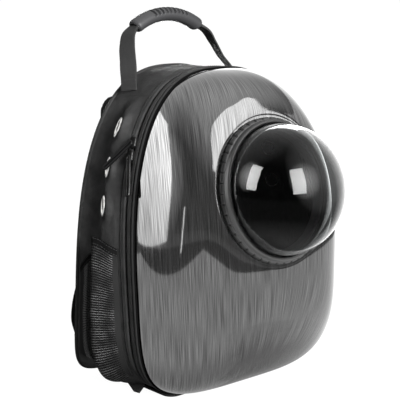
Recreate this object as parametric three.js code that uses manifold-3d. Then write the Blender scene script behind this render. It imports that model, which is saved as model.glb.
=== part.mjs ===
// Pet carrier backpack with a bubble window: a hard domed shell zipped to a soft bag.
// Millimetres, +Z up, +X to the right seen from the front, the front facing -Y.
// The origin is the centre of the underside of the base board.
import * as THREE from 'three';
import { mergeVertices } from 'three/addons/utils/BufferGeometryUtils.js';
import Module from 'manifold-3d';

const wasm = await Module();
wasm.setup();

// Clearance between neighbouring pieces
const GAP = 0.3;

// Front seam: an arch with a wide foot, in a plane that leans back
const FRONT_ARCH = { halfWidth: 151.6, height: 403, waist: 128, crownPower: 2.6, footPower: 4.15 };
const FRONT_FOOT_Y = -80;
const FRONT_LEAN = THREE.MathUtils.degToRad(4.2);

// Rear seam: a narrower arch with tight bottom corners, in a plane that leans forward
const REAR_ARCH = { halfWidth: 141.3, height: 400, waist: 128, crownPower: 2.6, footPower: 9 };
const REAR_FOOT_Y = 76.3;
const REAR_LEAN = THREE.MathUtils.degToRad(3.8);

// Height of both seams' lowest points above the floor, and points round each seam
const FOOT_Z = 5;
const AROUND = 56;

// Hard shell
const SHELL_WALL = 2.5;
const SHELL_STEPS = 6;
const SHELL_POWER = 1.8;

// Bubble window: its seat on the shell, the ring and the dome
const SEAT_RISE = 85;
const SEAT_HEIGHT = 253.7;
const SEAT_TILT = THREE.MathUtils.degToRad(8.8);
const SEAT_RADIUS = 92.5;
const HOLE_RADIUS = 78.5;
const RING_RADIUS = 90;
const NECK_RADIUS = 77.4;
const BORE_RADIUS = 74;
const NECK_LENGTH = 7;
const LEDGE_HEIGHT = 6;
const FLANGE = { edge: 4, top: 6, bevel: 2.5 };
const LIP = { radius: 85, height: 12.5, foot: 7, flare: 1, round: 2, edge: 1, inner: 1.5 };
const DOME_RADIUS = 80.4;
const DOME_RISE = 77;
const DOME_WALL = 2;
const WINDOW_SIDES = 36;
const DOME_STEPS = 6;

// Bands round the front seam, by distance behind it
const BINDING_END = 10;
const FRONT_TAPE_END = 20;
const COIL_END = 23.2;
const COIL_SUNK = 1;
const REAR_TAPE_END = 33;
const TAPE_CROWN = 1.1;
const BAND_DEPTH = 3;

// Section of the binding: the shell's edge sits in front of its step
const BINDING_SECTION = [
  { behind: GAP, out: -5 },
  { behind: BINDING_END, out: -5 },
  { behind: BINDING_END, out: 0.4 },
  { behind: 7.8, out: 2.6 },
  { behind: 3.6, out: 1.2 },
  { behind: 3.6, out: -2 },
  { behind: GAP, out: -2 },
];

// Fabric walls of the bag
const FABRIC_WALL = 2.8;
const SHOULDER_HEIGHT = 372;
const FOOT_SEAM_X = 96;
const FOLD_FADE = 40;
const PANEL_ROWS = { bottom: 8, top: 12, side: 16 };

// The side fold from the zip to the rear seam: share of the depth, and how far the fabric stands out
const SIDE_FOLD = [
  { share: 0, out: 0 },
  { share: 0.1, out: 5.2 },
  { share: 0.2, out: 7 },
  { share: 0.62, out: -9.5 },
  { share: 0.82, out: -5 },
  { share: 1, out: 0 },
];

// Vent eyelets on the rear slope of the fold
const VENT_HEIGHTS = [240, 287, 334];
const VENT_SHARE = 0.37;
const VENT_SIDES = 12;
const EYELET_BARREL = 9.4;
const EYELET_LIFT = 1.35;
const DRILL_LENGTH = 17;

// Section of an eyelet: its barrel goes through the fabric and its domed flange lies on it
const EYELET_PROFILE = [
  { radius: 8.6, height: -3.8 },
  { radius: EYELET_BARREL, height: -3.8 },
  { radius: EYELET_BARREL, height: 0 },
  { radius: 13.5, height: 0 },
  { radius: 12.5, height: 2 },
  { radius: 10.4, height: 2.4 },
  { radius: 8.6, height: -3.8 },
];

// Mesh pocket over the lower side: its foot, its hem and its bulge along the depth, and how it swells upwards
const POCKET_WALL = 1.2;
const POCKET_SEAM_GAP = 0.8;
const HEM_HEIGHT = 9;
const HEM_WALL = 1.8;
const POCKET_PROFILE = [
  { share: 0.03, foot: 30, hem: 190, bulge: 0 },
  { share: 0.1, foot: 27, hem: 194, bulge: 6 },
  { share: 0.2, foot: 23, hem: 200, bulge: 10 },
  { share: 0.36, foot: 20, hem: 204, bulge: 16 },
  { share: 0.5, foot: 21, hem: 196, bulge: 11 },
  { share: 0.62, foot: 25, hem: 186, bulge: 7 },
  { share: 0.82, foot: 32, hem: 171, bulge: 6 },
  { share: 0.95, foot: 37, hem: 158, bulge: 0 },
];
const POCKET_SWELL = [
  { rise: 0, swell: 0 },
  { rise: 0.07, swell: 0.55 },
  { rise: 0.17, swell: 0.9 },
  { rise: 0.3, swell: 1 },
  { rise: 0.55, swell: 1 },
  { rise: 0.8, swell: 0.8 },
  { rise: 1, swell: 0.7 },
];

// Base board and the padded back
const BASE = { width: 200, depth: 132, thickness: FOOT_Z - TAPE_CROWN - GAP, corner: 14, cornerSteps: 4 };
const BACK_PAD = [
  { behind: GAP, inset: 3.4 },
  { behind: 7, inset: 4 },
  { behind: 11, inset: 12 },
  { behind: 13, inset: 42 },
];

// Section of the piping round the rear seam
const PIPING_SECTION = [
  { behind: 0, out: -3 },
  { behind: 6.4, out: -3 },
  { behind: 6.4, out: 0.6 },
  { behind: 3.2, out: 2.6 },
  { behind: 0, out: 0.6 },
];

// Handle, from the shoulder seam to the middle of the grip: the left half mirrors it
const HANDLE_PATH = [
  { x: 88.5, y: 25, z: 379.2, halfWidth: 11.5, halfThick: 1.1, turn: 21 },
  { x: 86.5, y: 28, z: 397, halfWidth: 11.5, halfThick: 1.1, turn: 21 },
  { x: 79, y: 39, z: 415, halfWidth: 11.5, halfThick: 1.1, turn: 20 },
  { x: 73, y: 48, z: 433, halfWidth: 11, halfThick: 1.2, turn: 16 },
  { x: 65.5, y: 54, z: 448, halfWidth: 9, halfThick: 1.5, turn: 8 },
  { x: 55, y: 57.5, z: 455.3, halfWidth: 6.5, halfThick: 2, turn: 0 },
  { x: 40, y: 58, z: 462.9, halfWidth: 6, halfThick: 2, turn: 0 },
  { x: 21, y: 58, z: 469.3, halfWidth: 6, halfThick: 2, turn: 0 },
  { x: 0, y: 58, z: 471.6, halfWidth: 6, halfThick: 2, turn: 0 },
];
const GRIP_HALF_LENGTH = 53;
const GRIP_RADIUS = 96;
const GRIP_STEPS = 10;
const GRIP_SIDES = 10;
const GRIP_OUTER = { halfWidth: 12, halfThick: 9 };
const GRIP_BORE = { halfWidth: 9.4, halfThick: 5 };

// Shoulder strap, from the top of the back to its lower end, on the right-hand side
const STRAP_PATH = [
  { x: 48, y: 68.4, z: 352, halfWidth: 26, halfThick: 3.5 },
  { x: 49, y: 80, z: 359, halfWidth: 27, halfThick: 5 },
  { x: 50, y: 93, z: 350, halfWidth: 27, halfThick: 6 },
  { x: 52, y: 101, z: 324, halfWidth: 27, halfThick: 6.5 },
  { x: 57, y: 108, z: 286, halfWidth: 28, halfThick: 6.5 },
  { x: 64, y: 110, z: 246, halfWidth: 28, halfThick: 6.5 },
  { x: 73, y: 108, z: 206, halfWidth: 26, halfThick: 6 },
  { x: 86, y: 103, z: 174, halfWidth: 21, halfThick: 5 },
  { x: 94, y: 100.5, z: 158, halfWidth: 14, halfThick: 2.5 },
];
const BUCKLE = { width: 33, thickness: 4, slot: 25, slotWidth: 5 };
const WEBBING_PATH = [
  { x: 106.9, y: 96.5, z: 132.1, halfWidth: 10, halfThick: 1 },
  { x: 117, y: 95.5, z: 112, halfWidth: 10, halfThick: 1 },
  { x: 121, y: 94, z: 90, halfWidth: 10, halfThick: 1 },
  { x: 122.5, y: 92.5, z: 70, halfWidth: 10, halfThick: 1 },
  { x: 122.5, y: 91.4, z: 55, halfWidth: 10, halfThick: 1 },
];
const ANCHOR_PATH = [
  { x: 122.5, y: 91.2, z: 54.5, halfWidth: 10.5, halfThick: 1.6 },
  { x: 122, y: 90, z: 40, halfWidth: 11, halfThick: 1.8 },
  { x: 120.5, y: 88.6, z: 22, halfWidth: 12, halfThick: 1.8 },
];

// Zip sliders and pulls on the left-hand side, and the tabs at the zip's ends
const SLIDER = { length: 12, width: 9, height: 4.2, corner: 2, taper: 1 };
const SLIDER_HEIGHTS = { upper: 318, lower: 302 };
const PULL = { width: 6.4, wire: 1.25, sides: 6, turnSteps: 5 };
const PULL_TIPS = {
  upper: new THREE.Vector3(-151, -3, 290),
  lower: new THREE.Vector3(-152.5, -52, 263),
};
const END_TAB = { x: 118, reach: 9.5, thickness: 2, root: [0.03, 0.36], tip: [0.1, 0.18] };

// Colours
const COLOURS = {
  shell: { color: 0x55575a, roughness: 0.28, metalness: 0.4 },
  ring: { color: 0x3a3b3d, roughness: 0.45, metalness: 0.1 },
  clear: { color: 0xdfe4e6, roughness: 0.05, metalness: 0, transparent: true, opacity: 0.35 },
  fabric: { color: 0x1d1e20, roughness: 0.9, metalness: 0 },
  trim: { color: 0x121314, roughness: 0.85, metalness: 0 },
  mesh: { color: 0x2a2b2c, roughness: 0.95, metalness: 0 },
  rubber: { color: 0x3c3d3e, roughness: 0.7, metalness: 0 },
  nickel: { color: 0xd8d8d6, roughness: 0.25, metalness: 1 },
  plastic: { color: 0x161718, roughness: 0.5, metalness: 0 },
};

// Fineness of the outlines' arc length, of searches along them and of welded points
const ARC_SAMPLES = 900;
const HALVINGS = 40;
const WELD = 1e-4;

const vector = (x, y, z) => new THREE.Vector3(x, y, z);
const steps = (count) => Array.from({ length: count }, (_, index) => index);

// A superellipse arch in the XZ plane, from the bottom centre up the +X side and round
class ArchOutline extends THREE.Curve {
  constructor(arch) {
    super();
    this.arch = arch;
    this.arcLengthDivisions = ARC_SAMPLES;
  }

  getPoint(t, target = new THREE.Vector3()) {
    const { halfWidth, height, waist, crownPower, footPower } = this.arch;
    const angle = (t - 0.25) * 2 * Math.PI;
    const across = Math.cos(angle);
    const up = Math.sin(angle);
    const power = up > 0 ? crownPower : footPower;
    const rise = up > 0 ? height - waist : waist;
    const sum = Math.abs(across / halfWidth) ** power + Math.abs(up / rise) ** power;
    const reach = sum ** (-1 / power);
    return target.set(reach * across, 0, waist + reach * up);
  }

  // The point at arc share u, moved outwards in the plane
  offsetPoint(u, outset) {
    const along = ((u % 1) + 1) % 1;
    const nearby = 0.0004;
    const before = this.getPointAt((along - nearby + 1) % 1);
    const after = this.getPointAt((along + nearby) % 1);
    const tangent = after.sub(before).normalize();
    return this.getPointAt(along).add(vector(tangent.z * outset, 0, -tangent.x * outset));
  }

  // The arc share on the +X side where the outline passes a test that stays true above it
  shareWhere(test) {
    let low = 0;
    let high = 0.5;
    for (const _ of steps(HALVINGS)) {
      const middle = (low + high) / 2;
      if (test(this.getPointAt(middle))) high = middle;
      else low = middle;
    }
    return high;
  }
}

const frontOutline = new ArchOutline(FRONT_ARCH);
const rearOutline = new ArchOutline(REAR_ARCH);
const shareAtHeight = (height) => frontOutline.shareWhere((point) => point.z > height);

// A point of the leaning front plane, raised off it towards the front
function frontPlanePoint(x, along, raised) {
  const y = FRONT_FOOT_Y + along * Math.sin(FRONT_LEAN) - raised * Math.cos(FRONT_LEAN);
  return vector(x, y, FOOT_Z + along * Math.cos(FRONT_LEAN) + raised * Math.sin(FRONT_LEAN));
}

function frontPoint(u, behind, outset) {
  const flat = frontOutline.offsetPoint(u, outset);
  return frontPlanePoint(flat.x, flat.z, 0).add(vector(0, behind, 0));
}

function rearPoint(u, behind, outset) {
  const flat = rearOutline.offsetPoint(u, outset);
  return vector(flat.x, REAR_FOOT_Y - flat.z * Math.tan(REAR_LEAN) + behind, FOOT_Z + flat.z);
}

// A point of the fabric wall: share 0 at the zip, 1 at the rear seam
function wallPoint(u, share, outset) {
  return frontPoint(u, REAR_TAPE_END + GAP, outset).lerp(rearPoint(u, -GAP, outset), share);
}

// A closed body through rows of closed sections: a loop of rows, or capped at its two ends
function skin(rows, isLoop) {
  const count = rows[0].length;
  const index = [];
  const quad = (a, b, c, d) => index.push(a, b, c, a, c, d);
  for (const row of steps(isLoop ? rows.length : rows.length - 1)) {
    const here = row * count;
    const next = ((row + 1) % rows.length) * count;
    for (const column of steps(count)) {
      const beside = (column + 1) % count;
      quad(here + column, here + beside, next + beside, next + column);
    }
  }
  if (!isLoop) {
    const last = (rows.length - 1) * count;
    for (const column of steps(count / 2 - 1)) {
      const far = count - 1 - column;
      quad(far, far - 1, column + 1, column);
      quad(last + column, last + column + 1, last + far - 1, last + far);
    }
  }
  return facingOut(rows.flat(), index);
}

// Indexed geometry with its triangles turned so that the enclosed volume is positive
function facingOut(points, index) {
  let volume = 0;
  for (let i = 0; i < index.length; i += 3) {
    const [a, b, c] = [points[index[i]], points[index[i + 1]], points[index[i + 2]]];
    volume += a.dot(b.clone().cross(c));
  }
  const geometry = new THREE.BufferGeometry().setFromPoints(points);
  geometry.setIndex(volume < 0 ? index.reverse() : index);
  return geometry;
}

function toSolid(geometry) {
  const bare = geometry.clone();
  bare.deleteAttribute('normal');
  bare.deleteAttribute('uv');
  const welded = mergeVertices(bare, WELD);
  return new wasm.Manifold(new wasm.Mesh({
    numProp: 3,
    vertProperties: new Float32Array(welded.attributes.position.array),
    triVerts: new Uint32Array(welded.index.array),
  }));
}

function toGeometry(solid) {
  const { vertProperties, triVerts } = solid.getMesh();
  const geometry = new THREE.BufferGeometry();
  geometry.setAttribute('position', new THREE.BufferAttribute(new Float32Array(vertProperties), 3));
  geometry.setIndex(Array.from(triVerts));
  return geometry;
}

const bag = new THREE.Group();

function addMesh(parent, name, geometry, colour) {
  const mesh = new THREE.Mesh(geometry, new THREE.MeshStandardMaterial(COLOURS[colour]));
  mesh.name = name;
  parent.add(mesh);
  return mesh;
}

// A band round the front seam from its cross-section's corners
function frontBand(section) {
  return skin(
    section.map(({ behind, out }) => steps(AROUND).map((j) => frontPoint(j / AROUND, behind, out))),
    true,
  );
}

// A tape band with a slightly raised middle
function tapeBand(from, to) {
  return frontBand([
    { behind: from, out: -BAND_DEPTH },
    { behind: to, out: -BAND_DEPTH },
    { behind: to, out: 0 },
    { behind: (from + to) / 2, out: TAPE_CROWN },
    { behind: from, out: 0 },
  ]);
}

// Bubble window: turned about its own axis, which leans back with the shell
const seatCentre = frontPlanePoint(0, SEAT_HEIGHT, SEAT_RISE);
const seatAxis = vector(0, -Math.cos(FRONT_LEAN + SEAT_TILT), Math.sin(FRONT_LEAN + SEAT_TILT));
const seatUp = vector(0, seatAxis.z, -seatAxis.y);

function seatPoint(angle, radius, raised) {
  return seatCentre.clone()
    .addScaledVector(vector(1, 0, 0), radius * Math.cos(angle))
    .addScaledVector(seatUp, radius * Math.sin(angle))
    .addScaledVector(seatAxis, raised);
}

// Shell: rows swell from the rim to the flat seat of the window, outside and then inside
function shellRow(turn, inset) {
  const inward = 1 - Math.cos(turn) ** (2 / SHELL_POWER);
  const outward = Math.sin(turn) ** (2 / SHELL_POWER);
  return steps(AROUND).map((j) => {
    const rim = frontPoint(j / AROUND, -GAP, -inset);
    const flat = frontOutline.offsetPoint(j / AROUND, 0);
    const angle = Math.atan2(flat.z - SEAT_HEIGHT, flat.x);
    const seat = seatPoint(angle, SEAT_RADIUS, -inset);
    const front = vector(0, -Math.cos(FRONT_LEAN), Math.sin(FRONT_LEAN));
    const rise = seat.clone().sub(rim).dot(front);
    const across = seat.clone().sub(rim).addScaledVector(front, -rise);
    return rim.clone().addScaledVector(across, inward).addScaledVector(front, rise * outward);
  });
}

function holeRow(inset) {
  return steps(AROUND).map((j) => {
    const flat = frontOutline.offsetPoint(j / AROUND, 0);
    return seatPoint(Math.atan2(flat.z - SEAT_HEIGHT, flat.x), HOLE_RADIUS, -inset);
  });
}

function buildShell() {
  const turns = steps(SHELL_STEPS + 1).map((step) => (step / SHELL_STEPS) * (Math.PI / 2));
  const outside = [...turns.map((turn) => shellRow(turn, 0)), holeRow(0)];
  const inside = [...turns.map((turn) => shellRow(turn, SHELL_WALL)), holeRow(SHELL_WALL)];
  addMesh(bag, 'shell', skin([...outside, ...inside.reverse()], true), 'shell');
}

function buildWindow() {
  const bubble = new THREE.Group();
  bubble.position.copy(seatCentre);
  bubble.quaternion.setFromUnitVectors(vector(0, 1, 0), seatAxis);
  bag.add(bubble);

  const ledgeRadius = DOME_RADIUS + GAP;
  const neck = [[BORE_RADIUS, -NECK_LENGTH], [NECK_RADIUS, -NECK_LENGTH], [NECK_RADIUS, GAP]];
  const flange = [
    [RING_RADIUS, GAP], [RING_RADIUS, FLANGE.edge], [RING_RADIUS - FLANGE.bevel, FLANGE.top],
  ];
  const lip = [
    [LIP.radius + LIP.flare, LIP.foot], [LIP.radius, LIP.height - LIP.edge],
    [LIP.radius - LIP.round, LIP.height], [ledgeRadius, LIP.height - LIP.inner],
  ];
  const ledge = [[ledgeRadius, LEDGE_HEIGHT], [BORE_RADIUS, LEDGE_HEIGHT], [BORE_RADIUS, -NECK_LENGTH]];
  const ringProfile = [...neck, ...flange, ...lip, ...ledge].map(([radius, height]) => (
    new THREE.Vector2(radius, height)
  ));
  addMesh(bubble, 'window_ring', new THREE.LatheGeometry(ringProfile, WINDOW_SIDES), 'ring');

  const arc = (radius, rise) => steps(DOME_STEPS + 1).map((step) => {
    const turn = (step / DOME_STEPS) * (Math.PI / 2);
    const height = LIP.height + rise * Math.sin(turn);
    return new THREE.Vector2(step === DOME_STEPS ? 0 : radius * Math.cos(turn), height);
  });
  const outer = arc(DOME_RADIUS, DOME_RISE);
  const inner = arc(DOME_RADIUS - DOME_WALL, DOME_RISE - DOME_WALL).reverse();
  const foot = LEDGE_HEIGHT + GAP;
  const domeProfile = [
    ...inner,
    new THREE.Vector2(DOME_RADIUS - DOME_WALL, foot),
    new THREE.Vector2(DOME_RADIUS, foot),
    ...outer,
  ];
  addMesh(bubble, 'window_dome', new THREE.LatheGeometry(domeProfile, WINDOW_SIDES), 'clear');
}

function buildZip() {
  addMesh(bag, 'front_binding', frontBand(BINDING_SECTION), 'trim');
  addMesh(bag, 'zip_tape_front', tapeBand(BINDING_END + GAP, FRONT_TAPE_END), 'fabric');
  addMesh(bag, 'zip_coil', frontBand([
    { behind: FRONT_TAPE_END + GAP, out: -BAND_DEPTH },
    { behind: COIL_END, out: -BAND_DEPTH },
    { behind: COIL_END, out: -COIL_SUNK },
    { behind: FRONT_TAPE_END + GAP, out: -COIL_SUNK },
  ]), 'plastic');
  addMesh(bag, 'zip_tape_rear', tapeBand(COIL_END + GAP, REAR_TAPE_END), 'fabric');
}

// How much of the side fold shows: it fades out towards the foot and shoulder seams
const footSeam = frontOutline.shareWhere((point) => point.x > FOOT_SEAM_X || point.z > FRONT_ARCH.waist);
const shoulderSeam = shareAtHeight(SHOULDER_HEIGHT);

function foldStrength(u) {
  const perimeter = frontOutline.getLength();
  const fromFoot = (u - footSeam) * perimeter;
  const fromShoulder = (shoulderSeam - u) * perimeter;
  return THREE.MathUtils.smoothstep(Math.min(fromFoot, fromShoulder), 0, FOLD_FADE);
}

// Outward offset of the folded side at a share of its depth
function foldOut(u, share) {
  const after = Math.max(1, SIDE_FOLD.findIndex((row) => row.share >= share));
  const [start, end] = [SIDE_FOLD[after - 1], SIDE_FOLD[after]];
  const blend = (share - start.share) / (end.share - start.share);
  return THREE.MathUtils.lerp(start.out, end.out, blend) * foldStrength(u);
}

function panelRows(from, to, count, outAt) {
  const inset = (GAP / 2) / frontOutline.getLength();
  return steps(count + 1).map((step) => {
    const u = THREE.MathUtils.lerp(from + inset, to - inset, step / count);
    const outside = SIDE_FOLD.map(({ share }) => wallPoint(u, share, outAt(u, share)));
    const inside = SIDE_FOLD.map(({ share }) => wallPoint(u, share, outAt(u, share) - FABRIC_WALL));
    return [...outside, ...inside.reverse()];
  });
}

const mirrored = (rows, sign) => rows.map((row) => row.map((p) => vector(sign * p.x, p.y, p.z)));

// The outward direction and the place of a point on the right-hand side's fold
function sideFrame(u, share, outset) {
  const nudge = 0.004;
  const at = (du, ds) => wallPoint(u + du, share + ds, foldOut(u + du, share + ds) + outset);
  const along = at(nudge, 0).sub(at(-nudge, 0));
  const backward = at(0, nudge).sub(at(0, -nudge));
  return { place: at(0, 0), normal: backward.cross(along).normalize() };
}

function buildPanels() {
  const onBoard = () => TAPE_CROWN;
  const plain = () => 0;
  const bottomRows = panelRows(-footSeam, footSeam, PANEL_ROWS.bottom, onBoard);
  const topRows = panelRows(shoulderSeam, 1 - shoulderSeam, PANEL_ROWS.top, plain);
  const sideRows = panelRows(footSeam, shoulderSeam, PANEL_ROWS.side, foldOut);
  addMesh(bag, 'panel_bottom', skin(bottomRows, false), 'fabric');
  addMesh(bag, 'panel_top', skin(topRows, false), 'fabric');

  const eyeletProfile = EYELET_PROFILE.map(({ radius, height }) => new THREE.Vector2(radius, height));
  const drillRadius = EYELET_BARREL + GAP;
  for (const [side, sign] of [['left', -1], ['right', 1]]) {
    let panel = toSolid(skin(mirrored(sideRows, sign), false));
    for (const [index, height] of VENT_HEIGHTS.entries()) {
      const { place, normal } = sideFrame(shareAtHeight(height), VENT_SHARE, EYELET_LIFT);
      place.x *= sign;
      normal.x *= sign;
      const name = `vent_eyelet_${side}_${index + 1}`;
      const eyelet = addMesh(bag, name, new THREE.LatheGeometry(eyeletProfile, VENT_SIDES), 'nickel');
      eyelet.position.copy(place);
      eyelet.quaternion.setFromUnitVectors(vector(0, 1, 0), normal);
      eyelet.updateMatrix();
      const drill = new THREE.CylinderGeometry(drillRadius, drillRadius, DRILL_LENGTH, VENT_SIDES);
      panel = panel.subtract(toSolid(drill.applyMatrix4(eyelet.matrix)));
    }
    addMesh(bag, `panel_${side}`, toGeometry(panel), 'fabric');
  }
}

// A sheet over the side: each row is one height of the pocket, its outer surface and then its inner
function pocketRows(table, placeOf, wall) {
  return table.map(({ rise, swell }) => {
    const surface = (thickness) => POCKET_PROFILE.map(({ share, foot, hem, bulge }) => {
      const u = placeOf(rise, foot, hem);
      return wallPoint(u, share, foldOut(u, share) + POCKET_SEAM_GAP + bulge * swell + thickness);
    });
    return [...surface(wall), ...surface(0).reverse()];
  });
}

function buildPockets() {
  const { swell } = POCKET_SWELL[POCKET_SWELL.length - 1];
  const meshPlace = (rise, foot, hem) => THREE.MathUtils.lerp(
    shareAtHeight(foot), shareAtHeight(hem - HEM_HEIGHT - GAP), rise,
  );
  const hemPlace = (rise, foot, hem) => shareAtHeight(hem - HEM_HEIGHT * (1 - rise));
  const meshRows = pocketRows(POCKET_SWELL, meshPlace, POCKET_WALL);
  const hemRows = pocketRows([{ rise: 0, swell }, { rise: 1, swell }], hemPlace, HEM_WALL);
  for (const [side, sign] of [['left', -1], ['right', 1]]) {
    addMesh(bag, `pocket_mesh_${side}`, skin(mirrored(meshRows, sign), false), 'mesh');
    addMesh(bag, `pocket_hem_${side}`, skin(mirrored(hemRows, sign), false), 'trim');
  }
}

function buildBase() {
  const { width, depth, thickness, corner, cornerSteps } = BASE;
  const outline = new THREE.Shape();
  outline.moveTo(corner - width / 2, -depth / 2);
  outline.lineTo(width / 2 - corner, -depth / 2);
  outline.absarc(width / 2 - corner, corner - depth / 2, corner, -Math.PI / 2, 0);
  outline.absarc(width / 2 - corner, depth / 2 - corner, corner, 0, Math.PI / 2);
  outline.absarc(corner - width / 2, depth / 2 - corner, corner, Math.PI / 2, Math.PI);
  outline.absarc(corner - width / 2, corner - depth / 2, corner, Math.PI, 1.5 * Math.PI);
  const solid = { depth: thickness, bevelEnabled: false, curveSegments: cornerSteps };
  addMesh(bag, 'base_board', new THREE.ExtrudeGeometry(outline, solid), 'trim');
}

function buildBack() {
  const loop = (behind, out) => steps(AROUND).map((j) => rearPoint(j / AROUND, behind, out));
  const padRows = BACK_PAD.map(({ behind, inset }) => loop(behind, -inset));
  const pipingRows = PIPING_SECTION.map(({ behind, out }) => loop(behind, out));
  addMesh(bag, 'back_panel', skin(padRows, false), 'fabric');
  addMesh(bag, 'rear_piping', skin(pipingRows, true), 'trim');
}

// Sections of a flat strap, as shares of its half width and half thickness
const FLAT_SECTION = [
  { across: 1, thick: 1 },
  { across: -1, thick: 1 },
  { across: -1, thick: -1 },
  { across: 1, thick: -1 },
];
const PADDED_SECTION = [
  { across: 1, thick: 0.35 },
  { across: 0.72, thick: 1 },
  { across: -0.72, thick: 1 },
  { across: -1, thick: 0.35 },
  { across: -1, thick: -0.35 },
  { across: -0.72, thick: -1 },
  { across: 0.72, thick: -1 },
  { across: 1, thick: -0.35 },
];

// Rows of a strap along a path: its width lies across the path, in the direction given for each row
function strapRows(path, widthAt, section) {
  const points = path.map(({ x, y, z }) => vector(x, y, z));
  return path.map((row, i) => {
    const ahead = points[Math.min(i + 1, points.length - 1)];
    const behind = points[Math.max(i - 1, 0)];
    const along = ahead.clone().sub(behind).normalize();
    const across = widthAt(row);
    across.addScaledVector(along, -across.dot(along)).normalize();
    const outward = along.clone().cross(across);
    return section.map((corner) => points[i].clone()
      .addScaledVector(across, corner.across * row.halfWidth)
      .addScaledVector(outward, corner.thick * row.halfThick));
  });
}

function buildHandle() {
  const half = HANDLE_PATH.map((row) => ({ ...row, side: 1 }));
  const otherHalf = half.slice(0, -1).reverse().map((row) => ({ ...row, x: -row.x, side: -1 }));
  const widthAt = ({ turn, side }) => {
    const angle = THREE.MathUtils.degToRad(turn);
    return vector(side * Math.sin(angle), Math.cos(angle), 0);
  };
  const webbing = strapRows([...half, ...otherHalf], widthAt, FLAT_SECTION);
  addMesh(bag, 'handle_webbing', skin(webbing, false), 'trim');

  const middle = HANDLE_PATH[HANDLE_PATH.length - 1];
  const reach = Math.asin(GRIP_HALF_LENGTH / GRIP_RADIUS);
  const sleeve = ({ halfWidth, halfThick }) => steps(GRIP_STEPS + 1).map((step) => {
    const turn = THREE.MathUtils.lerp(-reach, reach, step / GRIP_STEPS);
    const up = vector(Math.sin(turn), 0, Math.cos(turn));
    const centre = vector(0, middle.y, middle.z - GRIP_RADIUS).addScaledVector(up, GRIP_RADIUS);
    return steps(GRIP_SIDES).map((side) => {
      const angle = (side / GRIP_SIDES) * 2 * Math.PI;
      return centre.clone()
        .addScaledVector(up, halfThick * Math.sin(angle))
        .add(vector(0, halfWidth * Math.cos(angle), 0));
    });
  });
  const sleeveRows = [...sleeve(GRIP_OUTER), ...sleeve(GRIP_BORE).reverse()];
  addMesh(bag, 'handle_grip', skin(sleeveRows, true), 'rubber');
}

function buildShoulderStraps() {
  const sideways = () => vector(1, 0, 0);
  const strap = strapRows(STRAP_PATH, sideways, PADDED_SECTION);
  const webbing = strapRows(WEBBING_PATH, sideways, FLAT_SECTION);
  const anchor = strapRows(ANCHOR_PATH, sideways, FLAT_SECTION);

  const { width, thickness, slot, slotWidth } = BUCKLE;
  const strapEnd = STRAP_PATH[STRAP_PATH.length - 1];
  const webbingStart = WEBBING_PATH[0];
  const from = vector(strapEnd.x, strapEnd.y, strapEnd.z);
  const to = vector(webbingStart.x, webbingStart.y, webbingStart.z);
  const length = from.distanceTo(to) - 2 * GAP;
  const rectangle = (wide, high, centre) => [[-1, -1], [1, -1], [1, 1], [-1, 1]].map(([x, y]) => (
    new THREE.Vector2(x * wide / 2, centre + y * high / 2)
  ));
  const frame = new THREE.Shape(rectangle(width, length, 0));
  for (const centre of [-length / 4, length / 4]) {
    frame.holes.push(new THREE.Path(rectangle(slot, slotWidth, centre).reverse()));
  }
  for (const [side, sign] of [['left', -1], ['right', 1]]) {
    addMesh(bag, `shoulder_strap_${side}`, skin(mirrored(strap, sign), false), 'fabric');
    addMesh(bag, `strap_webbing_${side}`, skin(mirrored(webbing, sign), false), 'trim');
    addMesh(bag, `strap_anchor_${side}`, skin(mirrored(anchor, sign), false), 'trim');
    const along = to.clone().sub(from);
    along.x *= sign;
    along.normalize();
    const across = vector(1, 0, 0).addScaledVector(along, -along.x).normalize();
    const buckle = new THREE.ExtrudeGeometry(frame, { depth: thickness, bevelEnabled: false });
    buckle.translate(0, 0, -thickness / 2);
    const mesh = addMesh(bag, `strap_adjuster_${side}`, buckle, 'plastic');
    mesh.position.copy(from).add(to).multiplyScalar(0.5);
    mesh.position.x *= sign;
    mesh.quaternion.setFromRotationMatrix(
      new THREE.Matrix4().makeBasis(across, along, across.clone().cross(along)),
    );
  }
}

// Place on the left-hand side of the zip at a height along the leaning seam
function zipPlace(height, outset) {
  const nudge = 2;
  const behind = (FRONT_TAPE_END + COIL_END) / 2;
  const point = frontPoint(1 - shareAtHeight(height), behind, outset);
  const above = frontPoint(1 - shareAtHeight(height + nudge), behind, outset);
  return { point, along: above.sub(point).normalize() };
}

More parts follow.
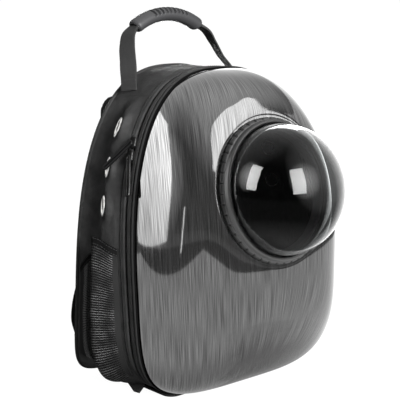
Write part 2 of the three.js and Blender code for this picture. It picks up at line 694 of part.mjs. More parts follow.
function buildSliders() {
  const { length, width, height, corner, taper } = SLIDER;
  const outline = new THREE.Shape([
    [-width / 2, corner - length / 2], [corner - width / 2, -length / 2], [width / 2 - corner, -length / 2],
    [width / 2, corner - length / 2], [width / 2 - taper, length / 2], [taper - width / 2, length / 2],
  ].map(([x, y]) => new THREE.Vector2(x, y)));
  for (const [name, seamHeight] of Object.entries(SLIDER_HEIGHTS)) {
    const { point, along } = zipPlace(seamHeight, TAPE_CROWN);
    const across = vector(0, 1, 0).addScaledVector(along, -along.y).normalize();
    const outward = across.clone().cross(along).negate();
    const body = new THREE.ExtrudeGeometry(outline, { depth: height, bevelEnabled: false });
    const slider = addMesh(bag, `zip_slider_${name}`, body, 'plastic');
    slider.position.copy(point);
    const basis = new THREE.Matrix4().makeBasis(along.clone().cross(outward), along, outward);
    slider.quaternion.setFromRotationMatrix(basis);

    // Pull: a slim closed loop from just above the slider to its tip
    const root = point.clone().addScaledVector(outward, height + PULL.wire + GAP);
    const tip = PULL_TIPS[name];
    const axis = tip.clone().sub(root);
    const reach = axis.length();
    axis.normalize();
    const sideways = axis.clone().cross(outward).normalize();
    const lift = sideways.clone().cross(axis);
    const half = PULL.width / 2 - PULL.wire;
    const bend = (centre, start) => steps(PULL.turnSteps).map((step) => {
      const angle = start + (step / (PULL.turnSteps - 1)) * Math.PI;
      return [centre + half * Math.cos(angle), half * Math.sin(angle)];
    });
    const route = [...bend(reach - half, -Math.PI / 2), ...bend(half, Math.PI / 2)];
    const rows = route.map(([forward, aside], i) => {
      const [nextAlong, nextAcross] = route[(i + 1) % route.length];
      const [lastAlong, lastAcross] = route[(i + route.length - 1) % route.length];
      const tangent = new THREE.Vector2(nextAlong - lastAlong, nextAcross - lastAcross).normalize();
      const normal = axis.clone().multiplyScalar(tangent.y).addScaledVector(sideways, -tangent.x);
      const centre = root.clone().addScaledVector(axis, forward).addScaledVector(sideways, aside);
      return steps(PULL.sides).map((side) => {
        const angle = (side / PULL.sides) * 2 * Math.PI;
        return centre.clone()
          .addScaledVector(normal, PULL.wire * Math.cos(angle))
          .addScaledVector(lift, PULL.wire * Math.sin(angle));
      });
    });
    addMesh(bag, `zip_pull_${name}`, skin(rows, true), 'plastic');
  }
}

// Tabs at the zip's ends stand out of the rounded bottom corners, clear of the fold's ridge
function buildEndTabs() {
  const { x, reach, thickness, root, tip } = END_TAB;
  const u = frontOutline.shareWhere((point) => point.x > x || point.z > FRONT_ARCH.waist);
  const half = thickness / 2 / frontOutline.getLength();
  const ridge = Math.max(...SIDE_FOLD.map(({ share }) => foldOut(u, share)));
  const section = ([near, far], raised) => [
    wallPoint(u - half, near, ridge + raised), wallPoint(u - half, far, ridge + raised),
    wallPoint(u + half, far, ridge + raised), wallPoint(u + half, near, ridge + raised),
  ];
  const rows = [section(root, 2 * GAP), section(tip, reach)];
  for (const [side, sign] of [['left', -1], ['right', 1]]) {
    addMesh(bag, `zip_end_tab_${side}`, skin(mirrored(rows, sign), false), 'trim');
  }
}

buildShell();
buildWindow();
buildZip();
buildPanels();
buildPockets();
buildBase();
buildBack();
buildHandle();
buildShoulderStraps();
buildSliders();
buildEndTabs();

export default bag;
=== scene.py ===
# %% [markdown]
# # A capsule backpack for carrying a small pet
# The bag has a hard, glossy front shell with a bubble window. A long zip joins the shell to a soft bag
# with a carry handle, mesh side pockets, metal vent eyelets, a padded back and two shoulder straps. The
# packed frame already holds every piece as a plain solid of the right size. This lesson dresses that
# frame: it lays finer surfaces over the same outlines and gives each surface its finish.

# %% Load the frame
import math

import bmesh
import bpy
import numpy as np
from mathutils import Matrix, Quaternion, Vector, noise


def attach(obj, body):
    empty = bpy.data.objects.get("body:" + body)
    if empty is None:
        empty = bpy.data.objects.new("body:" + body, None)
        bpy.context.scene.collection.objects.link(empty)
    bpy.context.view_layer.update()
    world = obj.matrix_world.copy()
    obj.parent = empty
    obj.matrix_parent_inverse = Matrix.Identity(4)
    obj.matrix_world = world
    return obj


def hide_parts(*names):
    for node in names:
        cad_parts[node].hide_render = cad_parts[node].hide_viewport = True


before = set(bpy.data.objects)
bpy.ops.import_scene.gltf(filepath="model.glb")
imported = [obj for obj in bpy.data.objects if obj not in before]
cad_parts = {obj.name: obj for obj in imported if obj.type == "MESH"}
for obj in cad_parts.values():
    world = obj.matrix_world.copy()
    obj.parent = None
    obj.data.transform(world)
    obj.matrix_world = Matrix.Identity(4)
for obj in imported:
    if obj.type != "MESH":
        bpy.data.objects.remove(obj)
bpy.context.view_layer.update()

# %% [markdown]
# ## Camera
# A product photograph is taken with a long lens from some way off, so that the shell isn't distorted. A
# wide lens close by would swell the bubble and tilt the sides, so this camera is a long one too. It
# stands to the left of the bag, a little above the window, and looks slightly down.

# %% Camera
CAMERA_PLACE = Vector((-0.98514, -1.13141, 0.52249))
CAMERA_TARGET = Vector((-0.06219, -0.080, 0.25106))
CAMERA_LENS = 104.7
CAMERA_SENSOR = 36.0

camera_data = bpy.data.cameras.new("photo_camera")
camera_data.lens = CAMERA_LENS
camera_data.sensor_width = CAMERA_SENSOR
camera = bpy.data.objects.new("photo_camera", camera_data)
camera.location = CAMERA_PLACE
camera.rotation_euler = (CAMERA_TARGET - CAMERA_PLACE).to_track_quat("-Z", "Y").to_euler()
bpy.context.scene.collection.objects.link(camera)
bpy.context.scene.camera = camera
print("camera to target:", round((CAMERA_TARGET - CAMERA_PLACE).length, 3), "m")

# %% [markdown]
# ## Studio
# A glossy shell shows what stands around it, so its lights are placed by what they leave in it. The
# plain rectangular ones come first: a thin one makes the bright sliver on the shell, two that lie under
# the bag are the table and the floor that it mirrors, and the rest are for the cloth, the eyelets and
# the bubble. Shaped ones and a soft sky come after the table. A photographer lights such a bag in
# several exposures and joins them. The same is done here by linking lights to pieces: `only` comes
# before the groups that a light is meant for, and `not` before those that it misses.

# %% Softbox table
# azimuth and elevation in degrees, 0 in front and negative to the left; distance, width and height in metres;
# radiance at the panel; turn about its own axis and spread of its beam in degrees; what it lights
SOFTBOXES = {
    "cloth_front": (-14, 20, 1.9, 0.7, 0.7, 110.0, 0, 180, "not shell ring bubble eyelets"),
    "cloth_left": (-104, 20, 1.7, 0.8, 1.5, 2.5, 0, 180, "not shell ring bubble"),
    "cloth_rear": (150, 4, 1.9, 0.9, 0.9, 24.0, 0, 180, "not shell ring bubble eyelets"),
    "ceiling": (150, 74, 2.3, 4.2, 3.6, 1.25, 0, 180, "not shell ring bubble"),
    "eyelet_glint": (-168, 8, 1.7, 1.4, 1.6, 1.3, 0, 180, "only eyelets"),
    "shell_sliver": (-70, -1, 1.7, 0.05, 0.5, 4.0, 0, 180, "only shell ring"),
    "shell_halo": (-100, 18, 1.7, 1.7, 2.2, 1.4, 0, 52, "only shell"),
    "shell_rim": (102, 8, 1.8, 4.4, 1.2, 1.2, 0, 180, "only shell"),
    "shell_table": (0, -90, 0.248, 1.94, 1.94, 1.05, -9, 180, "only shell ring"),
    "shell_floor": (0, -90, 0.246, 9.0, 9.0, 0.2, 0, 176, "only shell ring"),
    "eyelet_air": (-40, 20, 3.0, 14.0, 14.0, 0.06, 0, 180, "only eyelets"),
    "window_left": (-91.5, 26, 1.7, 0.62, 1.15, 12.0, 0, 180, "only bubble"),
    "window_right": (-9, 22, 1.8, 0.7, 1.2, 12.0, 0, 180, "only bubble"),
    "window_top": (138, 28, 1.8, 1.15, 0.9, 6.5, 0, 180, "only bubble"),
    "window_left_halo": (-107, 25, 1.7, 1.5, 1.5, 5.5, 0, 48, "only bubble"),
    "window_right_halo": (4, 22, 1.8, 2.0, 2.0, 5.5, 0, 58, "only bubble"),
    "window_veil": (32, 25, 1.8, 5.0, 5.0, 1.15, 0, 108, "only bubble"),
    "window_back": (180, 45, 1.8, 6.8, 6.8, 0.5, 0, 124, "only bubble"),
    "window_side": (95, 25, 1.8, 6.8, 6.8, 0.6, 0, 124, "only bubble"),
    "window_rim": (112, 0, 1.8, 4.4, 4.6, 4.0, 0, 92, "only bubble"),
    "window_sky": (-50, 88, 1.8, 4.4, 4.4, 0.15, 0, 76, "only bubble"),
    "window_table": (0, -90, 0.248, 1.3, 1.3, 0.42, 0, 100, "only bubble"),
}
print("softboxes planned:", len(SOFTBOXES))

# %% Softboxes and world
LIGHT_AIM = Vector((0.0, -0.05, 0.25))
WORLD_GREY = 0.05
OPEN_BEAM = 180


def direction(azimuth, elevation):
    """The unit vector from the bag towards a light."""
    a, e = math.radians(azimuth), math.radians(elevation)
    return Vector((math.sin(a) * math.cos(e), -math.cos(a) * math.cos(e), math.sin(e)))


def hide_from(piece, *rays):
    """Hides a part of the studio from kinds of rays, such as `camera` or `diffuse`."""
    for ray in rays:
        setattr(piece, f"visible_{ray}", False)


def softbox(name, azimuth, elevation, distance, width, height, radiance, roll, spread_angle):
    lamp = bpy.data.lights.new(name, "AREA")
    lamp.shape = "RECTANGLE"
    lamp.size, lamp.size_y = width, height
    lamp.spread = math.radians(spread_angle)
    half = 0.5 * lamp.spread
    # a narrow beam is brighter along its axis, so its power is less
    narrowed = 1 - half / math.tan(half) if spread_angle < OPEN_BEAM else 1.0
    lamp.energy = radiance * narrowed * math.pi * width * height
    towards = direction(azimuth, elevation)
    stand = bpy.data.objects.new(name, lamp)
    stand.location = LIGHT_AIM + towards * distance
    turn = Quaternion((0, 0, 1), math.radians(roll))
    stand.rotation_euler = ((-towards).to_track_quat("-Z", "Y") @ turn).to_euler()
    hide_from(stand, "camera", "transmission")
    bpy.context.scene.collection.objects.link(stand)
    return stand


softboxes = {
    light_name: softbox(light_name, *placing) for light_name, (*placing, _) in SOFTBOXES.items()
}

world = bpy.data.worlds.new("studio")
world.use_nodes = True
world.node_tree.nodes["Background"].inputs["Color"].default_value = (WORLD_GREY, WORLD_GREY, WORLD_GREY, 1)
bpy.context.scene.world = world
bpy.context.scene.view_settings.view_transform = "Standard"
print("softboxes:", len(softboxes))

# %% [markdown]
# ## A small language for finishes
# A material is a net of nodes. It could be wired by hand in the shader editor, or node by node in
# Python, which soon fills pages. Here a `Finish` adds nodes to one material, and a `Wire` stands for an
# output socket, so that `1 - mask` or `ribs * 0.5` reads as arithmetic and adds the Math nodes by
# itself.


# %% Wires
class Wire:
    """An output socket that takes part in Python arithmetic."""

    def __init__(self, finish, socket):
        self.finish = finish
        self.socket = socket

    def math(self, operation, other=0.0, swapped=False):
        first, second = (other, self) if swapped else (self, other)
        return self.finish.add("ShaderNodeMath", {"operation": operation}, {0: first, 1: second})

    def __add__(self, other):
        return self.math("ADD", other)

    __radd__ = __add__

    def __sub__(self, other):
        return self.math("SUBTRACT", other)

    def __rsub__(self, other):
        return self.math("SUBTRACT", other, swapped=True)

    def __mul__(self, other):
        return self.math("MULTIPLY", other)

    __rmul__ = __mul__

    def __truediv__(self, other):
        return self.math("DIVIDE", other)

    def sine(self):
        return self.math("SINE")

    def size(self):
        return self.math("ABSOLUTE")

    def fraction(self):
        return self.math("FRACT")

    def floor(self):
        return self.math("FLOOR")

    def above(self, level):
        return self.math("GREATER_THAN", level)

    def smooth(self, low, high):
        """0 below low, 1 above high, and an even slope between them."""
        limits = {0: self, 1: low, 2: high, 3: 0.0, 4: 1.0}
        return self.finish.add("ShaderNodeMapRange", {"interpolation_type": "SMOOTHSTEP"}, limits)


print("wire operations:", [name for name in vars(Wire) if not name.startswith("_")])


# %% Finishes
class Finish:
    """One material with a Principled surface. What is the same all over is set on its own sockets."""

    def __init__(self, name, **surface_values):
        self.material = bpy.data.materials.new(name)
        self.material.use_nodes = True
        self.tree = self.material.node_tree
        self.surface = self.tree.nodes["Principled BSDF"]
        for socket_name, value in surface_values.items():
            self.surface.inputs[socket_name.replace("_", " ")].default_value = value

    def add(self, kind, settings=None, sockets=None, output=0):
        """Adds a node, makes its settings, then fills its sockets with values or wires."""
        node = self.tree.nodes.new(kind)
        for key, value in (settings or {}).items():
            setattr(node, key, value)
        for key, value in (sockets or {}).items():
            if isinstance(key, int):
                target = node.inputs[key]
            else:
                target = next(s for s in node.inputs if key in (s.identifier, s.name))
            if isinstance(value, Wire):
                self.tree.links.new(value.socket, target)
            else:
                target.default_value = value
        found = node.outputs[output] if isinstance(output, int) else next(
            s for s in node.outputs if output in (s.identifier, s.name)
        )
        return Wire(self, found)

    def drive(self, **wires):
        """Links wires to the surface's sockets, such as Base_Color or Roughness."""
        for socket_name, wire in wires.items():
            self.tree.links.new(wire.socket, self.surface.inputs[socket_name.replace("_", " ")])

    def blend(self, mask, low, high):
        """A colour between two greys, or two colours, by a mask."""
        colours = [(c, c, c, 1.0) if isinstance(c, float) else c for c in (low, high)]
        return self.add(
            "ShaderNodeMix", {"data_type": "RGBA"},
            {"Factor_Float": mask, "A_Color": colours[0], "B_Color": colours[1]}, "Result_Color",
        )

    def along_cloth(self):
        """Two wires: metres along the piece and metres across it, from its UV map."""
        place = self.add("ShaderNodeUVMap", {"uv_map": "cloth"})
        parts = self.add("ShaderNodeSeparateXYZ", None, {0: place})
        return parts, Wire(self, parts.socket.node.outputs[1])

    def in_space(self):
        """The place on the piece, in metres."""
        return self.add("ShaderNodeTexCoord", None, None, "Object")

    def vector(self, x, y, z=0.0):
        return self.add("ShaderNodeCombineXYZ", None, {0: x, 1: y, 2: z})

    def grain(self, place, scale, detail=2.0, roughness=0.5):
        """Noise from 0 to 1 at a place."""
        sockets = {"Vector": place, "Scale": scale, "Detail": detail, "Roughness": roughness}
        return self.add("ShaderNodeTexNoise", None, sockets)

    def relief(self, height, distance, strength=1.0):
        """Bumps the surface by a height of 0 to 1 over a distance in metres."""
        sockets = {"Strength": strength, "Distance": distance, "Height": height}
        self.drive(Normal=self.add("ShaderNodeBump", None, sockets))


print("finish helpers:", [name for name in vars(Finish) if not name.startswith("_")])

# %% [markdown]
# ## Surfaces from point grids
# Every sewn or moulded surface of the bag is a smooth skin that follows a section along a path. It
# could be pulled into shape from a cube, but then no size could be stated. A grid of points can be
# worked out by formulas: rows run along the piece, and columns run round its section. One helper turns
# a grid into a closed mesh, gives it a UV map in metres and rounds its shading.

# %% Grid helper
SHARP_ANGLE = math.radians(40)
SAME_PLACE = 1e-6


def smoothstep(x):
    """0 below 0, 1 above 1, and an even slope between them."""
    x = np.clip(x, 0, 1)
    return x * x * (3 - 2 * x)


def spread(points, axis):
    """Metres from the first row, or column, to each other one, as the mean over the grid."""
    steps = np.linalg.norm(np.diff(points, axis=axis), axis=2).mean(axis=1 - axis)
    return np.concatenate([[0.0], np.cumsum(steps)])


def grid_piece(name, points, finish, loop_rows=False, capped=True, uv=None, sharp=SHARP_ANGLE):
    """A closed mesh from rows of closed sections. Rows close on the first, or are capped at both ends."""
    rows, columns = points.shape[:2]
    row_ids = np.arange(rows if loop_rows else rows - 1)
    i, j = (g.ravel() for g in np.meshgrid(row_ids, np.arange(columns), indexing="ij"))
    corners = [(i, j), (i, j + 1), (i + 1, j + 1), (i + 1, j)]
    faces = np.stack([(r % rows) * columns + c % columns for r, c in corners], axis=1)
    if uv is None:
        ring = np.concatenate([points, points[:, :1]], axis=1)
        run = np.concatenate([ring, ring[:1]], axis=0) if loop_rows else ring
        uv = np.stack(np.meshgrid(spread(run, 0), spread(run, 1), indexing="ij"), axis=-1)
    uv_rows = uv.shape[0]
    corner_uv = np.stack([uv[np.minimum(r, uv_rows - 1), c] for r, c in corners], axis=1)
    face_list = faces.tolist()
    uv_list = corner_uv.reshape(-1, 2).tolist()
    if capped and not loop_rows:
        for row in (0, rows - 1):
            for column in range(columns // 2 - 1):
                far = columns - 1 - column
                ids = [far, far - 1, column + 1, column] if row == 0 else [column, column + 1, far - 1, far]
                face_list.append([row * columns + c for c in ids])
                uv_list.extend(uv[row, c].tolist() for c in ids)
    mesh = bpy.data.meshes.new(name)
    mesh.from_pydata(points.reshape(-1, 3).tolist(), [], face_list)
    layer = mesh.uv_layers.new(name="cloth")
    layer.data.foreach_set("uv", np.array(uv_list, dtype=np.float32).ravel())
    tidy_mesh(mesh, sharp)
    return place_piece(name, mesh, finish)


def tidy_mesh(mesh, sharp=SHARP_ANGLE):
    """Merges doubled points, turns the faces outwards and rounds the shading up to an angle."""
    body = bmesh.new()
    body.from_mesh(mesh)
    bmesh.ops.remove_doubles(body, verts=body.verts, dist=SAME_PLACE)
    bmesh.ops.recalc_face_normals(body, faces=body.faces)
    if body.calc_volume(signed=True) < 0:
        bmesh.ops.reverse_faces(body, faces=body.faces)
    body.to_mesh(mesh)
    body.free()
    mesh.shade_smooth()
    mesh.set_sharp_from_angle(angle=sharp)


def place_piece(name, mesh, finish):
    piece = bpy.data.objects.new(name, mesh)
    piece.data.materials.append(finish.material)
    bpy.context.scene.collection.objects.link(piece)
    return piece


print("sharp above:", round(math.degrees(SHARP_ANGLE)), "degrees")

# %% Pieces and outlines
# a rounded corner takes up at most this share of the edges that meet there
CORNER_SHARE = 0.45


def dress(piece, body, slot, *nodes):
    """The piece rides on a body and stands for CAD nodes; the slot is not used."""
    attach(piece, body)
    if nodes:
        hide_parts(*nodes)
    return piece


def evaluated_mesh(piece):
    """A new mesh of a piece as its modifiers leave it."""
    return bpy.data.meshes.new_from_object(piece.evaluated_get(bpy.context.evaluated_depsgraph_get()))


def rounded(table, steps=4):
    """A closed outline from rows of two places and the radius that rounds the corner there."""
    points = [np.array(row[:2], dtype=float) for row in table]
    radii = [row[2] for row in table]
    outline = []
    for index, corner in enumerate(points):
        before = points[index - 1] - corner
        after = points[(index + 1) % len(points)] - corner
        edges = np.linalg.norm(before), np.linalg.norm(after)
        reach = min(radii[index], *(CORNER_SHARE * edge for edge in edges))
        start = corner + before / edges[0] * reach
        end = corner + after / edges[1] * reach
        for t in np.linspace(0, 1, steps if reach > 0 else 1):
            outline.append((1 - t) ** 2 * start + 2 * t * (1 - t) * corner + t * t * end)
    return np.array(outline)


print("corner of a rounded outline:", rounded([(0, 0, 0), (1, 0, 0.2), (0, 1, 0)]).shape[0], "points")

# %% [markdown]
# ## Table
# The bag stands on a white table before a white backdrop. Lamps bright enough to whiten them would show
# in the shell, so the table, the floor past it and the backdrop glow instead, and nothing mirrors them:
# the two lights under the bag do that for the shell. A soft dark card on the table is the bag's shade
# as the shell mirrors it. All of this is stage, not the bag.

# %% Table and floor
TABLE_RADIUS = 1.05
FLOOR_RADIUS = 12.0
BACKDROP_HEIGHT = 16.0
SHADE_DARK = 0.10
SHADE_CLEAR = 0.26
SHADE_STRENGTH = 0.7
SHADE_HEIGHT = 0.004
DISC_SIDES = 128
# what only a mirror shows is hidden from these rays
MIRRORED_ONLY = ("camera", "diffuse", "transmission", "shadow")


def stage_disc(name, inner, outer, finish, rise=0.0):
    """A disc, a flat ring, or a wall where the outer edge rises."""
    turns = np.linspace(0, 2 * np.pi, DISC_SIDES, endpoint=False)
    ring = np.stack([np.cos(turns), np.sin(turns), np.zeros_like(turns)], axis=-1)
    points = np.concatenate([ring * inner, ring * outer + np.array([0.0, 0.0, rise])])
    sides = [(k, (k + 1) % DISC_SIDES) for k in range(DISC_SIDES)]
    faces = [(k, after, DISC_SIDES + after, DISC_SIDES + k) for k, after in sides]
    if inner == 0:
        points = np.concatenate([[[0, 0, 0]], ring * outer])
        faces = [(0, 1 + k, 1 + after) for k, after in sides]
    mesh = bpy.data.meshes.new(name)
    mesh.from_pydata(points.tolist(), [], faces)
    disc = place_piece(name, mesh, finish)
    return disc


def matt(name, base=0.0, glow=0.0):
    """A grey without gloss, which may glow white."""
    return Finish(
        name, Base_Color=(base, base, base, 1), Roughness=1.0, Specular_IOR_Level=0.0,
        Emission_Color=(1, 1, 1, 1), Emission_Strength=glow,
    )


table_finish = matt("pale_table", 0.06, 0.98)
floor_finish = matt("pale_floor", 0.0, 1.02)
table = stage_disc("table", 0.0, TABLE_RADIUS, table_finish)
floor = stage_disc("floor", TABLE_RADIUS, FLOOR_RADIUS, floor_finish)
backdrop = stage_disc("backdrop", FLOOR_RADIUS, FLOOR_RADIUS, floor_finish, BACKDROP_HEIGHT)
for stage_piece in (table, floor, backdrop):
    hide_from(stage_piece, "glossy", "transmission", "shadow")
for stage_piece in (floor, backdrop):
    hide_from(stage_piece, "diffuse")

shade_finish = matt("contact_shade")
from_middle = shade_finish.add(
    "ShaderNodeVectorMath", {"operation": "LENGTH"}, {0: shade_finish.in_space()}, "Value"
)
shade_finish.drive(Alpha=SHADE_STRENGTH * (1 - from_middle.smooth(SHADE_DARK, SHADE_CLEAR)))
shade = stage_disc("contact_shade", 0.0, SHADE_CLEAR, shade_finish)
shade.location.z = SHADE_HEIGHT
hide_from(shade, *MIRRORED_ONLY)
print("table radius:", TABLE_RADIUS, "m")

# %% [markdown]
# ## Shaped softboxes
# The strip of light on the shell's left side and the patch above its window come from softboxes that
# aren't square. Blender's area lights are rectangles or ellipses, so each of these is a glowing sheet
# with an outline of its own, a little dimmer at its foot. The sheets stand behind the area lights,
# which don't hide them.

# %% Shaped softboxes
SHEET_DISTANCE = 3.6
SHEET_FOOT = -0.3
SHEET_TOP = 2.6
# azimuth and elevation, radiance at the top, share of it at the foot, and the outline in metres aside and up
SHEETS = {
    "shell_strip": (-123, 20, 6.6, 0.55, [
        (-0.90, -1.90), (2.45, -1.75), (2.30, -1.16), (2.16, -0.59), (1.93, 0.01), (1.50, 0.58),
        (0.82, 1.08), (-0.02, 1.47), (-0.99, 1.42), (-2.60, 1.35), (-2.60, -0.10), (-0.95, -1.20),
    ]),
    "shell_patch": (21, 33, 5.8, 0.8, [
        (-0.64, -0.67), (0.05, -1.00), (1.05, -1.35), (1.77, -1.75), (1.64, -1.00), (1.67, -0.23),
        (1.77, 0.30), (1.99, 0.97), (1.86, 1.31), (1.50, 1.29), (1.10, 1.10), (0.73, 1.09),
        (0.35, 1.24), (-1.07, 1.42), (-1.30, 1.10), (-1.30, 0.70), (-1.12, 0.22),
    ]),
}


def shaped_softbox(name, azimuth, elevation, radiance, dimmed, outline):
    """A glowing sheet; dimmed is the share of its radiance at its foot."""
    towards = direction(azimuth, elevation)
    upward = (Vector((0, 0, 1)) - towards * towards.z).normalized()
    aside = upward.cross(towards)
    corners = [LIGHT_AIM + towards * SHEET_DISTANCE + aside * x + upward * y for x, y in outline]
    mesh = bpy.data.meshes.new(name)
    mesh.from_pydata(corners, [], [list(range(len(corners)))])
    glow = matt(name + "_glow", glow=radiance)
    height = glow.add("ShaderNodeSeparateXYZ", None, {0: glow.in_space()}, 2)
    glow.drive(Emission_Color=glow.blend(height.smooth(SHEET_FOOT, SHEET_TOP), dimmed, 1.0))
    return place_piece(name, mesh, glow)


sheets = [shaped_softbox(sheet_name, *sheet) for sheet_name, sheet in SHEETS.items()]
for sheet in sheets:
    hide_from(sheet, *MIRRORED_ONLY)
print("shaped softboxes:", len(sheets))

# %% [markdown]
# ## Soft sky
# The rest of the studio is brightest overhead to the right, light behind the bag, and dim in front of
# it. Large area lights could give that, but their edges would show in the shell as arches. A dome round
# the bag changes softly from shade to shade, so it is what the shell mirrors.

# %% Soft sky
SKY_RADIUS = 5.0
SKY_RADIANCE = 2.0
SKY_DIM = 0.14
SKY_BRIGHT_WAY = direction(40, 71.5)
SKY_BRIGHT_EDGE = (0.52, 1.06)
SKY_REAR_WAY = direction(180, 0)
SKY_REAR_EDGE = (-0.05, 0.6)
SKY_REAR = 0.65
SKY_LOWEST = -4
SKY_ROWS, SKY_COLUMNS = 16, 48

sky_turns = np.linspace(0, 2 * np.pi, SKY_COLUMNS, endpoint=False)[None, :]
sky_rises = np.radians(np.linspace(SKY_LOWEST, 90, SKY_ROWS))[:, None]
sky_ways = [np.cos(sky_rises) * np.cos(sky_turns), np.cos(sky_rises) * np.sin(sky_turns), np.sin(sky_rises)]
sky_points = SKY_RADIUS * np.stack(np.broadcast_arrays(*sky_ways), axis=-1)
sky_glow = matt("sky_glow", glow=SKY_RADIANCE)


def sky_along(way):
    """1 where the sky lies along a way, 0 at right angles to it."""
    places = {0: sky_glow.in_space(), 1: way / SKY_RADIUS}
    return sky_glow.add("ShaderNodeVectorMath", {"operation": "DOT_PRODUCT"}, places, "Value")


overhead = sky_along(SKY_BRIGHT_WAY).smooth(*SKY_BRIGHT_EDGE)
behind = sky_along(SKY_REAR_WAY).smooth(*SKY_REAR_EDGE)
sky_shade = (1 - overhead) * (1 - behind * SKY_REAR)
sky_glow.drive(Emission_Color=sky_glow.blend(sky_shade, 1.0, SKY_DIM))
sky = grid_piece("shell_sky", sky_points, sky_glow, capped=False)
hide_from(sky, *MIRRORED_ONLY)
sheets.append(sky)
print("sky dome:", len(sky.data.polygons), "faces")

# %% [markdown]
# ## The two seams that carry every shape
# Seen from the front, the bag is an arch: a superellipse with a round crown and a squarer foot. It
# could be a curve drawn by eye, but a formula states it with five numbers and gives any point on it.
# The front seam, where the shell meets the zip, leans back, and the narrower rear seam leans forward.
# Every band, panel and pocket is placed by its share of the way round these seams.


# %% Arch
class Arch:
    """A superellipse arch, from the bottom centre up the +X side and round, by share of its length."""

    SAMPLES = 20001
    NUDGE = 1e-3

    def __init__(self, half_width, height, waist, crown_power, foot_power):
        self.half_width = half_width
        self.height = height
        self.waist = waist
        self.crown_power = crown_power
        self.foot_power = foot_power
        self.angles = np.linspace(-0.5 * np.pi, 1.5 * np.pi, self.SAMPLES)
        steps = np.linalg.norm(np.diff(self.place(self.angles), axis=0), axis=1)
        run = np.concatenate([[0.0], np.cumsum(steps)])
        self.length = run[-1]
        self.shares = run / self.length

    def place(self, angle):
        across, up = np.cos(angle), np.sin(angle)
        power = np.where(up > 0, self.crown_power, self.foot_power)
        rise = np.where(up > 0, self.height - self.waist, self.waist)
        total = np.abs(across / self.half_width) ** power + np.abs(up / rise) ** power
        reach = total ** (-1 / power)
        return np.stack([reach * across, self.waist + reach * up], axis=-1)

    def offset(self, share, outset):
        """The points at these shares, moved outwards in the arch's plane."""
        share, outset = np.broadcast_arrays(share, outset)
        angle = np.interp(np.mod(share, 1.0), self.shares, self.angles)
        ahead = self.place(angle + self.NUDGE) - self.place(angle - self.NUDGE)
        ahead /= np.linalg.norm(ahead, axis=-1, keepdims=True)
        outward = np.stack([ahead[..., 1], -ahead[..., 0]], axis=-1)
        return self.place(angle) + outward * outset[..., None]

    def share_at_height(self, height):
        """The share on the +X side where the arch reaches a height."""
        side = self.shares <= 0.5
        return float(np.interp(height, self.place(self.angles[side])[:, 1], self.shares[side]))

    def share_at_foot(self, x):
        """The share on the +X side of the foot where the arch reaches a distance from the middle."""
        side = (self.shares <= 0.5) & (self.place(self.angles)[:, 1] < self.waist)
        return float(np.interp(x, self.place(self.angles[side])[:, 0], self.shares[side]))


print("arch samples:", Arch.SAMPLES)

# %% Seam points
SEAM_GAP = 0.0003
FOOT_HEIGHT = 0.005
front_seam = Arch(half_width=0.1516, height=0.403, waist=0.128, crown_power=2.6, foot_power=4.15)
FRONT_FOOT_Y = -0.080
FRONT_LEAN = math.radians(4.2)
rear_seam = Arch(half_width=0.1413, height=0.400, waist=0.128, crown_power=2.6, foot_power=9.0)
REAR_FOOT_Y = 0.0763
REAR_LEAN = math.radians(3.8)
AHEAD = np.array([0.0, -math.cos(FRONT_LEAN), math.sin(FRONT_LEAN)])
ACROSS = np.array([1.0, 0.0, 0.0])


def front_plane(x, along, raised):
    """A point of the leaning front plane, raised off it towards the front."""
    y = FRONT_FOOT_Y + along * math.sin(FRONT_LEAN) + raised * AHEAD[1]
    z = FOOT_HEIGHT + along * math.cos(FRONT_LEAN) + raised * AHEAD[2]
    return np.stack(np.broadcast_arrays(x, y, z), axis=-1)


def front_point(share, behind, outset):
    """A point at a share of the front seam, moved back and out of it."""
    flat = front_seam.offset(share, outset)
    point = front_plane(flat[..., 0], flat[..., 1], 0.0)
    point[..., 1] += behind
    return point


def rear_point(share, behind, outset):
    """A point at a share of the rear seam, moved back and out of it."""
    flat = rear_seam.offset(share, outset)
    y = REAR_FOOT_Y - flat[..., 1] * math.tan(REAR_LEAN) + behind
    return np.stack(np.broadcast_arrays(flat[..., 0], y, FOOT_HEIGHT + flat[..., 1]), axis=-1)


print("seams, m round:", round(front_seam.length, 3), "in front,", round(rear_seam.length, 3), "behind")

# %% [markdown]
# ## Shell
# The shell is a sheet of plastic, heated and drawn over a mould. A subdivided cage could be pulled to
# its shape, but a glossy surface shows every bump of a cage. So the mesh follows a formula from the rim
# to the flat seat of the window: a quarter of a superellipse at each place round the seam. Its UV map
# is the flat sheet: what the mould drew down at the sides lay further out on the sheet, to the left and
# to the right of the middle.

# %% Shell form
SHELL_WALL = 0.0025
SHELL_POWER = 1.8
SHELL_AROUND = 320
SHELL_STEPS = 48
SEAT_STEPS = 3
SEAT_RISE = 0.085
SEAT_HEIGHT = 0.2537
SEAT_TILT = math.radians(8.8)
SEAT_RADIUS = 0.0925
HOLE_RADIUS = 0.0785
SIDE_DRAW = 0.7
DRAW_WIDTH = 0.05

seat_centre = front_plane(0.0, SEAT_HEIGHT, SEAT_RISE)
seat_lean = FRONT_LEAN + SEAT_TILT
SEAT_AXIS = np.array([0.0, -math.cos(seat_lean), math.sin(seat_lean)])
SEAT_UP = np.array([0.0, math.sin(seat_lean), math.cos(seat_lean)])


def seat_point(angle, radius, raised):
    """A point round the window's axis."""
    out = np.cos(angle)[..., None] * ACROSS + np.sin(angle)[..., None] * SEAT_UP
    return seat_centre + out * np.asarray(radius)[..., None] + np.asarray(raised)[..., None] * SEAT_AXIS


around = np.arange(SHELL_AROUND) / SHELL_AROUND
flat_seam = front_seam.offset(around, 0.0)
seat_angle = np.arctan2(flat_seam[:, 1] - SEAT_HEIGHT, flat_seam[:, 0])


